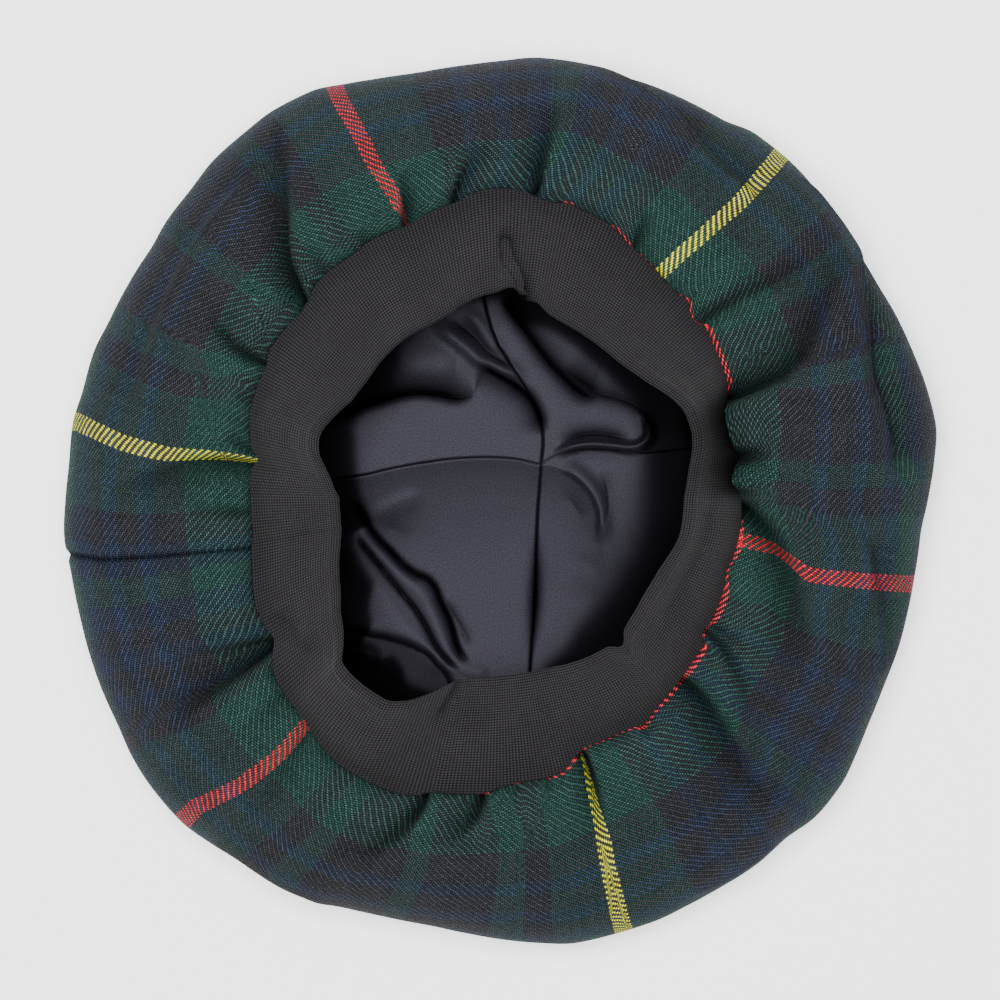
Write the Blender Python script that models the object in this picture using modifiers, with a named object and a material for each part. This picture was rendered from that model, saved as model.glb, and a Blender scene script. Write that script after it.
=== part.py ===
"""Tam o'shanter that lies crown down, with its opening up.

The tartan ring is gathered to a knitted headband, swells out to the rim, rolls under it
and meets the crown, which is flat where the hat rests. Four lining gores hang inside as a
loose bag. Azimuths run counterclockwise from +X, seen from above, in degrees. The tables
are in millimetres and degrees, and the model is in metres with +Z up. Its origin is on
the ground under the middle of the hat.
"""

import math

import bmesh
import bpy

MM = 0.001
COLLECTION = "tam_o_shanter"

# Driving dimensions, mm
CLOTH = 1.8  # thickness of the tartan
LINING = 0.9  # thickness of the lining, folded edges included
BAND = 2.8  # the knitted band, two layers
FOLD_RADIUS = 2.0  # roll of the band's folded edge
GAP = 0.35  # clearance where pieces meet
RIM_HEIGHT = 24.0  # widest level of the hat
SEAM_HEIGHT = 58.0  # where the ring is gathered to the band
SEAM_TUCK = 2.0  # how far the gathered edge turns down at the band
BAND_RISE = 25.0  # height of the band over its seam, on average
BAND_LEAN = 28.0  # how far the band leans in, on average
RISE_PER_LEAN = 0.35  # an upright stretch of the band stands this much higher
BAND_BOW = 1.5  # the band's middle bows out
ROLL_UNDER = 17.0  # from the rim in to the crown's edge, underneath
CROWN_EDGE_HEIGHT = 4.0
CROWN_FLAT = 100.0  # radius of the crown that lies on the surface
LOBE_HEIGHT = 6.0  # swell of the cloth between two gathers
LOBE_ONSET = 3.5  # distance from the band in which a lobe swells
LOBE_REACH = 30.0  # distance over which a lobe dies out

# Facets
RING_COLUMNS = 132
RING_ROWS_OVER = 8
RING_ROWS_UNDER = 3
CROWN_CELLS = 16
BAND_COLUMNS = 80
GORE_COLUMNS = 13
GORE_ROWS = 12

# Plan radii: rim is the widest line, seam is where band and ring meet, and fold is the
# band's folded edge round the opening
STEP = 10
SECTIONS = (
    # azimuth, rim, seam, fold
    (-180, 137.6, 78.5, 50.6),
    (-170, 137.5, 79.2, 50.9),
    (-160, 138.1, 82.5, 54.0),
    (-150, 140.0, 85.2, 58.1),
    (-140, 142.5, 90.9, 63.5),
    (-130, 141.4, 93.4, 70.5),
    (-120, 140.3, 97.6, 72.5),
    (-110, 137.1, 97.6, 64.5),
    (-100, 135.6, 94.0, 56.6),
    (-90, 138.7, 90.4, 55.3),
    (-80, 141.6, 88.8, 54.0),
    (-70, 141.6, 83.0, 53.7),
    (-60, 140.6, 82.5, 55.3),
    (-50, 139.7, 80.9, 56.5),
    (-40, 140.3, 79.0, 54.0),
    (-30, 135.6, 76.2, 54.0),
    (-20, 134.0, 75.5, 56.1),
    (-10, 132.9, 75.8, 58.1),
    (0, 135.6, 75.1, 58.1),
    (10, 139.7, 74.0, 59.7),
    (20, 138.3, 74.0, 63.0),
    (30, 137.1, 81.0, 62.5),
    (40, 138.1, 85.0, 59.7),
    (50, 141.1, 87.0, 57.7),
    (60, 139.0, 90.1, 57.2),
    (70, 139.2, 94.8, 59.3),
    (80, 140.0, 96.2, 63.5),
    (90, 138.3, 98.3, 66.0),
    (100, 137.8, 94.8, 62.4),
    (110, 139.8, 92.0, 59.7),
    (120, 142.2, 90.9, 58.8),
    (130, 140.0, 89.3, 56.9),
    (140, 137.1, 87.2, 55.6),
    (150, 135.6, 85.5, 57.2),
    (160, 136.5, 84.1, 60.4),
    (170, 136.2, 79.0, 53.7),
)
RIM, SEAM, FOLD = 1, 2, 3

# Valleys of the gathers: azimuth at the band, azimuth at the far end, depth at the band,
# half width at the band and reach, in plan, from the band
GATHERS = (
    # azimuth, far azimuth, depth, half width, reach
    (-148.0, -146.0, 8.0, 5.0, 55.0),
    (-131.0, -129.0, 7.0, 4.0, 26.0),
    (-116.0, -116.0, 4.0, 4.0, 16.0),
    (-104.0, -108.0, 9.0, 5.0, 42.0),
    (-93.5, -95.0, 7.0, 4.5, 26.0),
    (-80.0, -81.0, 4.5, 4.0, 22.0),
    (-72.0, -73.0, 9.0, 4.5, 28.0),
    (-57.0, -57.0, 7.0, 4.5, 26.0),
    (-47.0, -44.0, 7.5, 6.0, 52.0),
    (-33.0, -38.0, 7.0, 4.5, 30.0),
    (-17.0, -19.0, 7.0, 4.5, 26.0),
    (3.0, -22.0, 9.0, 4.5, 46.0),
    (10.5, 12.0, 8.0, 4.0, 26.0),
    (25.0, 33.0, 9.0, 5.0, 48.0),
    (43.0, 41.0, 7.0, 4.5, 26.0),
    (62.5, 62.0, 6.5, 4.5, 24.0),
    (83.5, 82.0, 9.0, 5.5, 32.0),
    (99.0, 96.0, 7.0, 4.5, 24.0),
    (109.0, 107.5, 8.0, 4.5, 26.0),
    (134.7, 121.0, 7.5, 5.0, 50.0),
    (150.0, 151.0, 7.0, 4.0, 20.0),
    (158.0, 158.0, 5.0, 4.0, 18.0),
    (170.0, 170.5, 6.5, 4.5, 22.0),
)

# Soft dents of the swelling, each along a line of (azimuth, plan radius)
DENTS = (
    # depth, half width, line
    (2.5, 6.0, ((-128, 139), (-120, 137), (-110, 136))),
    (2.5, 6.0, ((-27, 134), (-22, 128), (-17, 125), (-10, 116))),
    (3.0, 6.0, ((8, 123), (18, 121), (27, 126), (34, 136), (50, 138))),
    (2.0, 6.0, ((50, 124), (60, 126), (70, 134), (80, 140))),
    (2.5, 7.0, ((133, 136), (145, 122), (155, 119), (170, 115))),
)

# The lining: its seams meet at one point off the middle. Each seam has its azimuth at
# four stations between that point and the band.
CROSSING = (13.6, 12.3)
SEAM_STATIONS = (0.0, 0.27, 0.6, 1.0)
LINING_SEAMS = {
    "right": (50.0, 28.0, 18.0, 14.0),
    "top": (87.0, 93.0, 100.0, 101.0),
    "left": (165.0, 166.0, 174.0, 181.0),
    "bottom": (-90.0, -86.0, -85.0, -85.0),
}
GORES = (
    # name, first seam, next seam counterclockwise
    ("lining_gore_top_right", "right", "top"),
    ("lining_gore_top_left", "top", "left"),
    ("lining_gore_bottom_left", "left", "bottom"),
    ("lining_gore_bottom_right", "bottom", "right"),
)
LINING_FLOOR = 4.0
LINING_TOP = SEAM_HEIGHT - SEAM_TUCK - BAND / 2 - GAP
LINING_SWELL = 1.06  # widest plan radius of the bag, as a share of the band seam's
GORE_TIP = 0.015  # where a gore starts, as a share of the way to the band

# Soft folds of the lining's floor, each along a line of (x, y)
LINING_FOLDS = (
    # height, half width, line
    (9.0, 6.0, ((-45, -9), (-30, -26), (-15, -46), (-9, -54))),
    (6.0, 7.0, ((17, 10), (27, 2), (32, -7), (30, -14))),
    (5.0, 9.0, ((-26, 38), (-10, 46), (4, 44))),
    (7.0, 8.0, ((30, 20), (44, 18), (56, 14))),
)

MATERIALS = {
    # name: colour, roughness
    "tartan_wool": ((0.012, 0.045, 0.035), 0.9),
    "knit_band": ((0.018, 0.017, 0.019), 0.85),
    "satin_lining": ((0.02, 0.019, 0.026), 0.45),
}


def wrapped(angle):
    """The same angle between -180 and 180 degrees."""
    return (angle + 180.0) % 360.0 - 180.0


def section(azimuth, column):
    """A column of SECTIONS at any azimuth, on a smooth closed curve through its rows."""
    place = (azimuth + 180.0) / STEP
    row = math.floor(place)
    share = place - row
    before, low, high, after = (
        SECTIONS[(row + offset) % len(SECTIONS)][column] for offset in (-1, 0, 1, 2)
    )
    slope_low = (high - before) / 2
    slope_high = (after - low) / 2
    cubic = 2 * (low - high) + slope_low + slope_high
    square = 3 * (high - low) - 2 * slope_low - slope_high
    return low + share * (slope_low + share * (square + share * cubic))


def polar(azimuth, radius):
    angle = math.radians(azimuth)
    return radius * math.cos(angle), radius * math.sin(angle)


def distance_to_line(x, y, line):
    """Plan distance from a point to a line of points."""
    nearest = math.inf
    for (ax, ay), (bx, by) in zip(line, line[1:]):
        length_squared = (bx - ax) ** 2 + (by - ay) ** 2
        share = ((x - ax) * (bx - ax) + (y - ay) * (by - ay)) / length_squared
        share = min(1.0, max(0.0, share))
        nearest = min(nearest, math.hypot(x - ax - share * (bx - ax), y - ay - share * (by - ay)))
    return nearest


def gather_swell(azimuth, out):
    """Swell of the ring over its plain profile, at a plan distance out from the band."""
    onset = 1.0 - math.exp(-out / LOBE_ONSET)
    swell = LOBE_HEIGHT * onset * math.exp(-out / LOBE_REACH)
    radius = section(azimuth, SEAM) + out
    for start, end, depth, half_width, reach in GATHERS:
        share = out / reach
        if share >= 1.0:
            continue
        middle = start + (end - start) * share
        across = math.radians(wrapped(azimuth - middle)) * radius
        width = half_width * (1.0 + share)
        swell -= depth * onset * (1.0 - share) ** 1.5 * math.exp(-abs(across / width) ** 1.5)
    return swell


def dent(azimuth, radius):
    """Depth of the soft dents at a place on the ring."""
    x, y = polar(azimuth, radius)
    depth = 0.0
    for deepest, half_width, line in DENTS:
        away = distance_to_line(x, y, [polar(*point) for point in line])
        depth += deepest * math.exp(-((away / half_width) ** 2))
    return depth


def over_rim(azimuth, share):
    """Radius and height of the ring between the band, share 0, and the rim, share 1."""
    seam = section(azimuth, SEAM) + GAP
    width = section(azimuth, RIM) - seam
    height = SEAM_HEIGHT - RIM_HEIGHT
    turn = share * math.pi / 2
    out = width * math.sin(turn)
    normal_r, normal_z = height * math.sin(turn), width * math.cos(turn)
    length = math.hypot(normal_r, normal_z)
    lift = gather_swell(azimuth, out) - dent(azimuth, seam + out) * math.cos(turn)
    tuck = SEAM_TUCK * math.exp(-out / LOBE_ONSET)
    radius = seam + out + lift * normal_r / length
    return radius, RIM_HEIGHT + height * math.cos(turn) + lift * normal_z / length - tuck


def under_rim(azimuth, share):
    """Radius and height of the ring between the rim, share 0, and the crown, share 1."""
    turn = share * math.pi / 2
    radius = section(azimuth, RIM) - ROLL_UNDER * (1 - math.cos(turn))
    return radius, RIM_HEIGHT - (RIM_HEIGHT - CROWN_EDGE_HEIGHT) * math.sin(turn)


def crown_surface(azimuth, share):
    """Radius and height of the crown's outer face, share 0 at its middle, 1 at its edge."""
    edge = section(azimuth, RIM) - ROLL_UNDER - GAP
    radius = edge * share
    climb = max(0.0, (radius - CROWN_FLAT) / (edge - CROWN_FLAT))
    return radius, CROWN_EDGE_HEIGHT * climb**2


def band_section(azimuth):
    """The band's outline at an azimuth: up its outer face, over the fold and down inside."""
    base = (section(azimuth, SEAM) - BAND / 2, SEAM_HEIGHT - SEAM_TUCK)
    lean = section(azimuth, SEAM) - section(azimuth, FOLD)
    rise = BAND_RISE + RISE_PER_LEAN * (BAND_LEAN - lean)
    top = (section(azimuth, FOLD) + FOLD_RADIUS, SEAM_HEIGHT + rise - FOLD_RADIUS)
    along_r, along_z = top[0] - base[0], top[1] - base[1]
    length = math.hypot(along_r, along_z)
    along_r, along_z = along_r / length, along_z / length

    def place(share, side):
        bow = 4 * BAND_BOW * share * (1 - share)
        radius = base[0] + along_r * length * share + along_z * (bow + side)
        height = base[1] + along_z * length * share - along_r * (bow + side)
        return radius, height

    outer = [place(share, BAND / 2) for share in (0.0, 0.3, 0.6, 0.85)]
    fold = []
    for turn in (10, 55, 100, 145, 190):
        angle = math.radians(turn)
        side, forward = FOLD_RADIUS * math.cos(angle), FOLD_RADIUS * math.sin(angle)
        fold.append(
            (
                top[0] + along_z * side + along_r * forward,
                top[1] - along_r * side + along_z * forward,
            )
        )
    inner = [place(share, -BAND / 2) for share in (0.8, 0.4, 0.0)]
    return outer + fold + inner


def lining_azimuth(name, share):
    """Azimuth of one of the lining's seams, between its meeting point and the band."""
    azimuths = LINING_SEAMS[name]
    for index in range(len(SEAM_STATIONS) - 1):
        low, high = SEAM_STATIONS[index], SEAM_STATIONS[index + 1]
        if share <= high:
            return azimuths[index] + (azimuths[index + 1] - azimuths[index]) * (share - low) / (high - low)
    return azimuths[-1]


def lining_point(azimuth, share):
    """A point of the lining's bag: share 0 at the meeting point, 1 at the band."""
    reach = math.sin(min(1.0, share / 0.8) * math.pi / 2) * LINING_SWELL
    top = max(0.0, (share - 0.8) / 0.2)
    reach -= (LINING_SWELL - 1.0) * top
    edge_x, edge_y = polar(azimuth, section(azimuth, SEAM) - BAND)
    x = CROSSING[0] * (1 - reach) + edge_x * reach
    y = CROSSING[1] * (1 - reach) + edge_y * reach
    wall = max(0.0, (share - 0.55) / 0.45)
    height = LINING_FLOOR + (LINING_TOP - LINING_FLOOR) * wall**1.6
    folds = 0.0
    for highest, half_width, line in LINING_FOLDS:
        folds = max(folds, highest * math.exp(-((distance_to_line(x, y, line) / half_width) ** 2)))
    return x, y, height + folds * (1 - wall)


def material(name):
    colour, roughness = MATERIALS[name]
    made = bpy.data.materials.new(name)
    made.use_nodes = True
    shader = made.node_tree.nodes["Principled BSDF"]
    shader.inputs["Base Color"].default_value = (*colour, 1.0)
    shader.inputs["Roughness"].default_value = roughness
    shader.inputs["Metallic"].default_value = 0.0
    return made


def grid_object(name, columns, rows, place, material_made, collection):
    """A grid whose vertices go where place(u, v) says, in mm, with u and v from 0 to 1."""
    mesh = bpy.data.meshes.new(name)
    shape = bmesh.new()
    bmesh.ops.create_grid(shape, x_segments=columns, y_segments=rows, size=0.5)
    for vertex in shape.verts:
        point = place(vertex.co.x + 0.5, vertex.co.y + 0.5)
        vertex.co = [value * MM for value in point]
    bmesh.ops.remove_doubles(shape, verts=shape.verts, dist=0.01 * MM)
    shape.to_mesh(mesh)
    shape.free()
    mesh.materials.append(material_made)
    mesh.shade_smooth()
    made = bpy.data.objects.new(name, mesh)
    collection.objects.link(made)
    return made


def add_thickness(made, thickness):
    """Thickens an open sheet on the side away from its faces' normals."""
    solidify = made.modifiers.new("Thickness", "SOLIDIFY")
    solidify.thickness = thickness * MM
    solidify.offset = -1.0


def build_ring(collection, cloth):
    rows = RING_ROWS_OVER + RING_ROWS_UNDER
    rim_row = RING_ROWS_OVER / rows

    def place(u, v):
        azimuth = 360.0 * u - 180.0
        if v <= rim_row:
            radius, height = over_rim(azimuth, v / rim_row)
        else:
            radius, height = under_rim(azimuth, (v - rim_row) / (1 - rim_row))
        return *polar(azimuth, radius), height

    ring = grid_object("tartan_ring", RING_COLUMNS, rows, place, cloth, collection)
    ring.data.flip_normals()
    add_thickness(ring, CLOTH)


def build_crown(collection, cloth):
    def place(u, v):
        a, b = 2 * u - 1, 2 * v - 1
        x, y = a * math.sqrt(1 - b * b / 2), b * math.sqrt(1 - a * a / 2)
        azimuth = math.degrees(math.atan2(y, x))
        radius, height = crown_surface(azimuth, math.hypot(x, y))
        return *polar(azimuth, radius), height

    crown = grid_object("crown", CROWN_CELLS, CROWN_CELLS, place, cloth, collection)
    crown.data.flip_normals()
    add_thickness(crown, CLOTH)


def build_band(collection, knit):
    count = len(band_section(0.0))

    def place(u, v):
        azimuth = 360.0 * u - 180.0
        radius, height = band_section(azimuth)[round(v * count) % count]
        return *polar(azimuth, radius), height

    grid_object("headband", BAND_COLUMNS, count, place, knit, collection)


def build_gore(name, first, last, collection, satin):
    def place(u, v):
        share = GORE_TIP + (1 - GORE_TIP) * v
        start = lining_azimuth(first, share)
        turn = (lining_azimuth(last, share) - start) % 360.0
        x, y, _ = lining_point(start, share)
        clear = math.degrees(GAP / math.hypot(x - CROSSING[0], y - CROSSING[1]))
        return lining_point(start + clear + (turn - 2 * clear) * u, share)

    gore = grid_object(name, GORE_COLUMNS, GORE_ROWS, place, satin, collection)
    gore.data.flip_normals()
    add_thickness(gore, LINING)


def main():
    for old in list(bpy.data.objects):
        bpy.data.objects.remove(old, do_unlink=True)
    collection = bpy.data.collections.new(COLLECTION)
    bpy.context.scene.collection.children.link(collection)
    cloth, knit, satin = (material(name) for name in MATERIALS)
    build_ring(collection, cloth)
    build_crown(collection, cloth)
    build_band(collection, knit)
    for name, first, last in GORES:
        build_gore(name, first, last, collection, satin)


main()
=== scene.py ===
"""Tam o'shanter: tartan ring and crown, knitted headband and satin lining, lying crown down.

Every piece is worked out in one way. A function gives the place of each point of a grid,
in millimetres, from the tables below, and bmesh lays the grid there. Azimuths run
counterclockwise from +X, seen from above, in degrees. The tartan's pattern follows the
cloth: its UV map holds millimetres of cloth, along the strip and out from the headband.
"""

import math

import bmesh
import bpy
import numpy as np
from bpy.props import FloatProperty, IntProperty, PointerProperty, StringProperty
from bpy.types import Operator, Panel, PropertyGroup
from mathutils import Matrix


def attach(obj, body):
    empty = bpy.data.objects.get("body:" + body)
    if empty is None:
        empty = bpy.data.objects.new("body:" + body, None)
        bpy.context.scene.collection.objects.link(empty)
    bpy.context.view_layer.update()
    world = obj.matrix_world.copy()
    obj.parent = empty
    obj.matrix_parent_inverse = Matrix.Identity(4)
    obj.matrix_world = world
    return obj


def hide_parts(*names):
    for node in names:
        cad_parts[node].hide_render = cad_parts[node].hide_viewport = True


bl_info = {
    "name": "Tam o'shanter",
    "version": (1, 0, 0),
    "blender": (4, 5, 0),
    "location": "View3D > Sidebar > Hat",
    "description": "Builds a tartan tam o'shanter that lies crown down",
    "category": "Object",
}

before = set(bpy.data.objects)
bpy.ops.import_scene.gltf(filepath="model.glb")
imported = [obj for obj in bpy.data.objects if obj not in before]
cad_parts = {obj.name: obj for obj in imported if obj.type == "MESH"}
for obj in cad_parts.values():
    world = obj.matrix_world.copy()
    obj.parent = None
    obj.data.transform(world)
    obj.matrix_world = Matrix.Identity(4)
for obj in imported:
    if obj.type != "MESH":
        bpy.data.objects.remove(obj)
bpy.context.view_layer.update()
MM = 0.001

# Heights and wall sizes of the solids, mm
CLOTH = 1.8
LINING = 0.9
BAND = 2.8
FOLD_RADIUS = 2.0
GAP = 0.35
RIM_HEIGHT = 24.0
SEAM_HEIGHT = 58.0
SEAM_TUCK = 2.0
EDGE_DROP = 0.35
BAND_RISE = 25.0
BAND_LEAN = 28.0
RISE_PER_LEAN = 0.35
ROLL_UNDER = 17.0
CROWN_EDGE_HEIGHT = 4.0
CROWN_FLAT = 100.0
LINING_TOP = SEAM_HEIGHT - SEAM_TUCK - BAND / 2 - GAP
# The lining: mm to a pixel of the photo at its depth, how closely its wall climbs under the
# band, and the painted shade there: how roundly it begins and how far it takes to deepen, both in mm,
# and how sharp its edge is, where it darkens the foot as a steep wall would be
LINING_SCALE = 0.3193
WALL_STEEP = 6.0
LINING_ROUND = 0.9
SHADE_DEPTH = 9.0
SHADE_EDGE = 6.0
# The lowest that the lining goes, and the middling distance from its crossing to the band, mm
LINING_LOWEST = 2.9
MIDDLING_REACH = 78.0
# The rows of points round the band's fold, and the height of a course of its knit, mm
FOLD_ROWS = 18
COURSE = 0.84
# How much cloth a gather swallows for each mm of its depth, and how much longer the cloth is
# than it looks at the red line and beyond the first green
SWALLOWED = 1.8
RED_STRETCH = 1.6
OUTER_STRETCH = 1.13
# Rows of the ring in which its edge at the band is looked for
EDGE_ROWS = 20
# How a gather is shaped: its valley's widths on a crisp side and on the soft side beyond it, and
# how much it widens on the way out, as shares of its own width; how sharply it falls; how fast
# it ends; and how far the lobe beside a crisp side leans over, as a share of its depth
CRISP_SIDE = 0.55
SOFT_SIDE = 1.9
WIDENING = 1.1
VALLEY_POWER = 1.3
ENDING_POWER = 1.2
LOBE_LEAN = 0.25
# The gentle distance to a line: the power by which near places count, what their sum is 1 mm
# from an endless straight line, and the distances, mm, between which it takes over
NEARNESS = 8.0
STRAIGHT_SUM = 0.982
EXACT_TO = 2.5
GENTLE_FROM = 6.5
# Small puckers of the ring at the band: how many go round, and their start in radians
PUCKERS = ((61.0, 1.3), (97.0, 0.4))
# Where the crown's middle lies on the tartan, mm
CROWN_SETT_START = 60.0

# The pieces' grids, in columns and rows. The ring has rows over its swell and under its rim.
RING_GRID = (640, 60, 12)
CROWN_CELLS = 96
BAND_COLUMNS = 720
GORE_GRID = (190, 235)

# The stage, in metres. The camera's view is as wide as the photo's at the hat's middle height.
FLOOR_SIZE = 6.0
FLOOR_GAP = 0.0005
SOFTBOXES = (
    # name, place, size, power in watts
    ("softbox_above", (-0.12, 0.06, 1.5), 0.5, 41.0),
    ("softbox_right", (1.2, 0.2, 0.45), 0.7, 2.0),
)
LENS = 400.0
SENSOR = 36.0
PHOTO_WIDTH = 0.316
PHOTO_LEVEL = 0.04

# Plan radii round the hat, as azimuth: mm. The rim, the edge of the ring at the band, the band's
# fold, and the outer edge of the ring's first green
RIM = dict(zip(range(-180, 180, 5), (
    137.1, 138, 137.2, 137.4, 138.1, 138.9, 139.7, 141.4, 142.3, 142.6, 141.2, 139.8, 140, 138.8, 136.5,
    135.5, 135.3, 136.3, 138.1, 140, 141.6, 141.5, 141.6, 140.9, 140.6, 140.6, 139.7, 141.1, 140.3, 137.8,
    135.6, 134.4, 134, 133.3, 132.9, 133, 135, 137.6, 139.7, 139.3, 138.5, 137.9, 137.1, 137.3, 138.1,
    139.7, 140.6, 140.7, 138.7, 138.7, 138.7, 138.4, 139.7, 139.4, 137.7, 136.8, 136.6, 137.6, 139.5,
    141.8, 142, 140.9, 140, 138, 136.9, 135.3, 135.3, 135.3, 136.2, 135.9, 136.9, 136.4,
)))
SEAM = {
    -180: 78.2, -175: 78.2, -170: 79, -165: 80.7, -160: 82.6, -155: 83.9, -152: 83.9, -148.5: 83.1,
    -147: 84.5, -145: 87.3, -142: 89.9, -140: 90.5, -135: 91.6, -131: 92.7, -128: 94.3, -125: 96.1,
    -122: 97.1, -115: 97.7, -110: 97.9, -106: 96.8, -103.5: 94.7, -100: 93.6, -97: 93.3, -93: 92.4,
    -90: 90.5, -85: 88.9, -80: 88.6, -77: 87.7, -75: 85.5, -73: 83.6, -71: 82.3, -66: 82.3, -60: 82.6,
    -57.5: 83.9, -54: 82.3, -50: 80.9, -45: 79.8, -40: 79, -36: 78.5, -34: 76.7, -32: 75.7, -30: 76.4,
    -25: 76, -20: 75.1, -17: 74.5, -13: 75.4, -5: 75.7, 0: 75.4, 5: 75.1, 10: 75.4, 18: 75.7, 23: 77,
    28: 80.4, 32: 81.7, 36: 82.9, 40: 84.2, 42.5: 83.1, 45: 84.2, 46.5: 86.1, 50: 85.5, 55: 87, 60: 88.9,
    64: 90.5, 67: 92.7, 70: 93.9, 75: 95, 77: 95.8, 80: 94.9, 82: 95.2, 84: 96.5, 87: 97.7, 90: 98,
    95: 96.8, 98: 94.9, 103: 93.3, 107: 91.7, 110: 91, 115: 91.4, 120: 90.2, 128: 89.5, 131: 88.9,
    134.5: 86.4, 137: 86.1, 145: 86.4, 148: 86.1, 149.5: 84.8, 155: 84.2, 160: 83.3, 164: 81.7, 168: 79.8,
    170.5: 77, 173: 78.5, 176: 78.9,
}
FOLD = {
    -180: 50.1, -175: 50, -170: 50.3, -165: 51.5, -160: 53.4, -155: 55.3, -150: 57.4, -145: 60.6,
    -140: 63.7, -137: 66.8, -134: 70.6, -130: 71.5, -125: 71.8, -120: 71.8, -116: 69.9, -110: 64.3,
    -105: 59.3, -100: 56.5, -95: 55.6, -85: 54.6, -75: 54.5, -68: 55.3, -60: 56.2, -54: 56.8, -50: 59.3,
    -46: 55.9, -40: 54.6, -32: 53.7, -25: 54, -20: 54.9, -10: 57.1, 0: 57.4, 5: 58.4, 10: 59.9, 15: 62.1,
    20: 63.4, 25: 63.7, 30: 62.4, 35: 60.3, 40: 58.4, 50: 56.8, 60: 57.4, 70: 58.7, 75: 59.9, 80: 63.4,
    84: 65.9, 87: 66.5, 91: 64.9, 95: 64, 100: 62.4, 105: 60.3, 110: 59, 120: 58.4, 130: 57.1, 140: 55.6,
    145: 55.6, 150: 56.8, 155: 58.4, 160: 59.6, 165: 58.4, 170: 54.9, 173: 53.1, 176: 51.8,
}
GREEN_EDGE = {
    -180: 100.5, -171: 100.8, -169: 101.1, -165: 101.4, -160: 102.7, -156: 104.9, -152: 104, -147.6: 104,
    -146.2: 110.9, -142: 112.5, -136: 113.7, -130: 114, -125: 115, -120: 117.8, -112: 118.1, -108: 116.5,
    -105: 115.3, -100: 114.7, -95: 113.1, -90: 112.1, -82: 111.5, -75: 109.6, -67: 107.7, -60: 107.4,
    -49: 107.4, -44: 105.2, -40: 101.4, -35: 100.5, -27: 100.5, -22: 98.3, -15: 96.4, -10: 94.5, -5: 92,
    0: 87.6, 5: 89.1, 8: 90.1, 12: 91.7, 15: 93.6, 20: 94.8, 23: 96.1, 24.5: 104.3, 30: 106.5, 34: 107.7,
    40: 109.6, 47: 110.9, 55: 111.5, 60: 113.4, 65: 114.3, 70: 115.3, 75: 117.8, 79: 119.1, 82: 118.4,
    84.5: 116.5, 88: 114.7, 95: 114.3, 100: 113.7, 103: 112.5, 110: 112.5, 113: 113.4, 120: 112.5,
    127: 112.5, 131: 109, 135: 108, 143: 108, 148: 106.8, 153: 106.5, 157: 104.9, 160: 103.6, 165: 102.7,
    170: 102.4, 175: 100.8,
}

# How much of the red line under that green shows at the band, mm
RED_SHOWN = {
    -180: 0, -97.5: 0, -95: 0.3, -93.5: 1, -92: 0.9, -91: 0.1, -88: 0.4, -86.5: 0.8, -85: 0.3, -81.5: 0.2,
    -80: 1.1, -78: 1.4, -75.5: 1.7, -73: 1.3, -72: 1.9, -70.5: 0.9, -62: 0.9, -58.5: 1.5, -55: 1.3,
    -48: 1.6, -44: 1.6, -41: 2.5, -36: 2.5, -33.5: 1.3, -31: 1.3, -28: 2.5, -22: 2.8, -19: 1.6, -16: 1.4,
    -12: 1.9, -8: 1.7, -4: 1.3, 0: 0.8, 2.5: 0.2, 3.5: 0, 23.5: 0, 25: 1.9, 36: 2.1, 39.5: 2.2, 41.2: 0.9,
    43: 0.9, 46: 1.7, 48: 0.9, 50: 0.6, 60: 0.8, 61.5: 0.6, 64: 1.3, 66.5: 1.6, 69: 0.4, 74: 0.4, 77: 1.3,
    79.5: 0.4, 82: 0,
}

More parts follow.
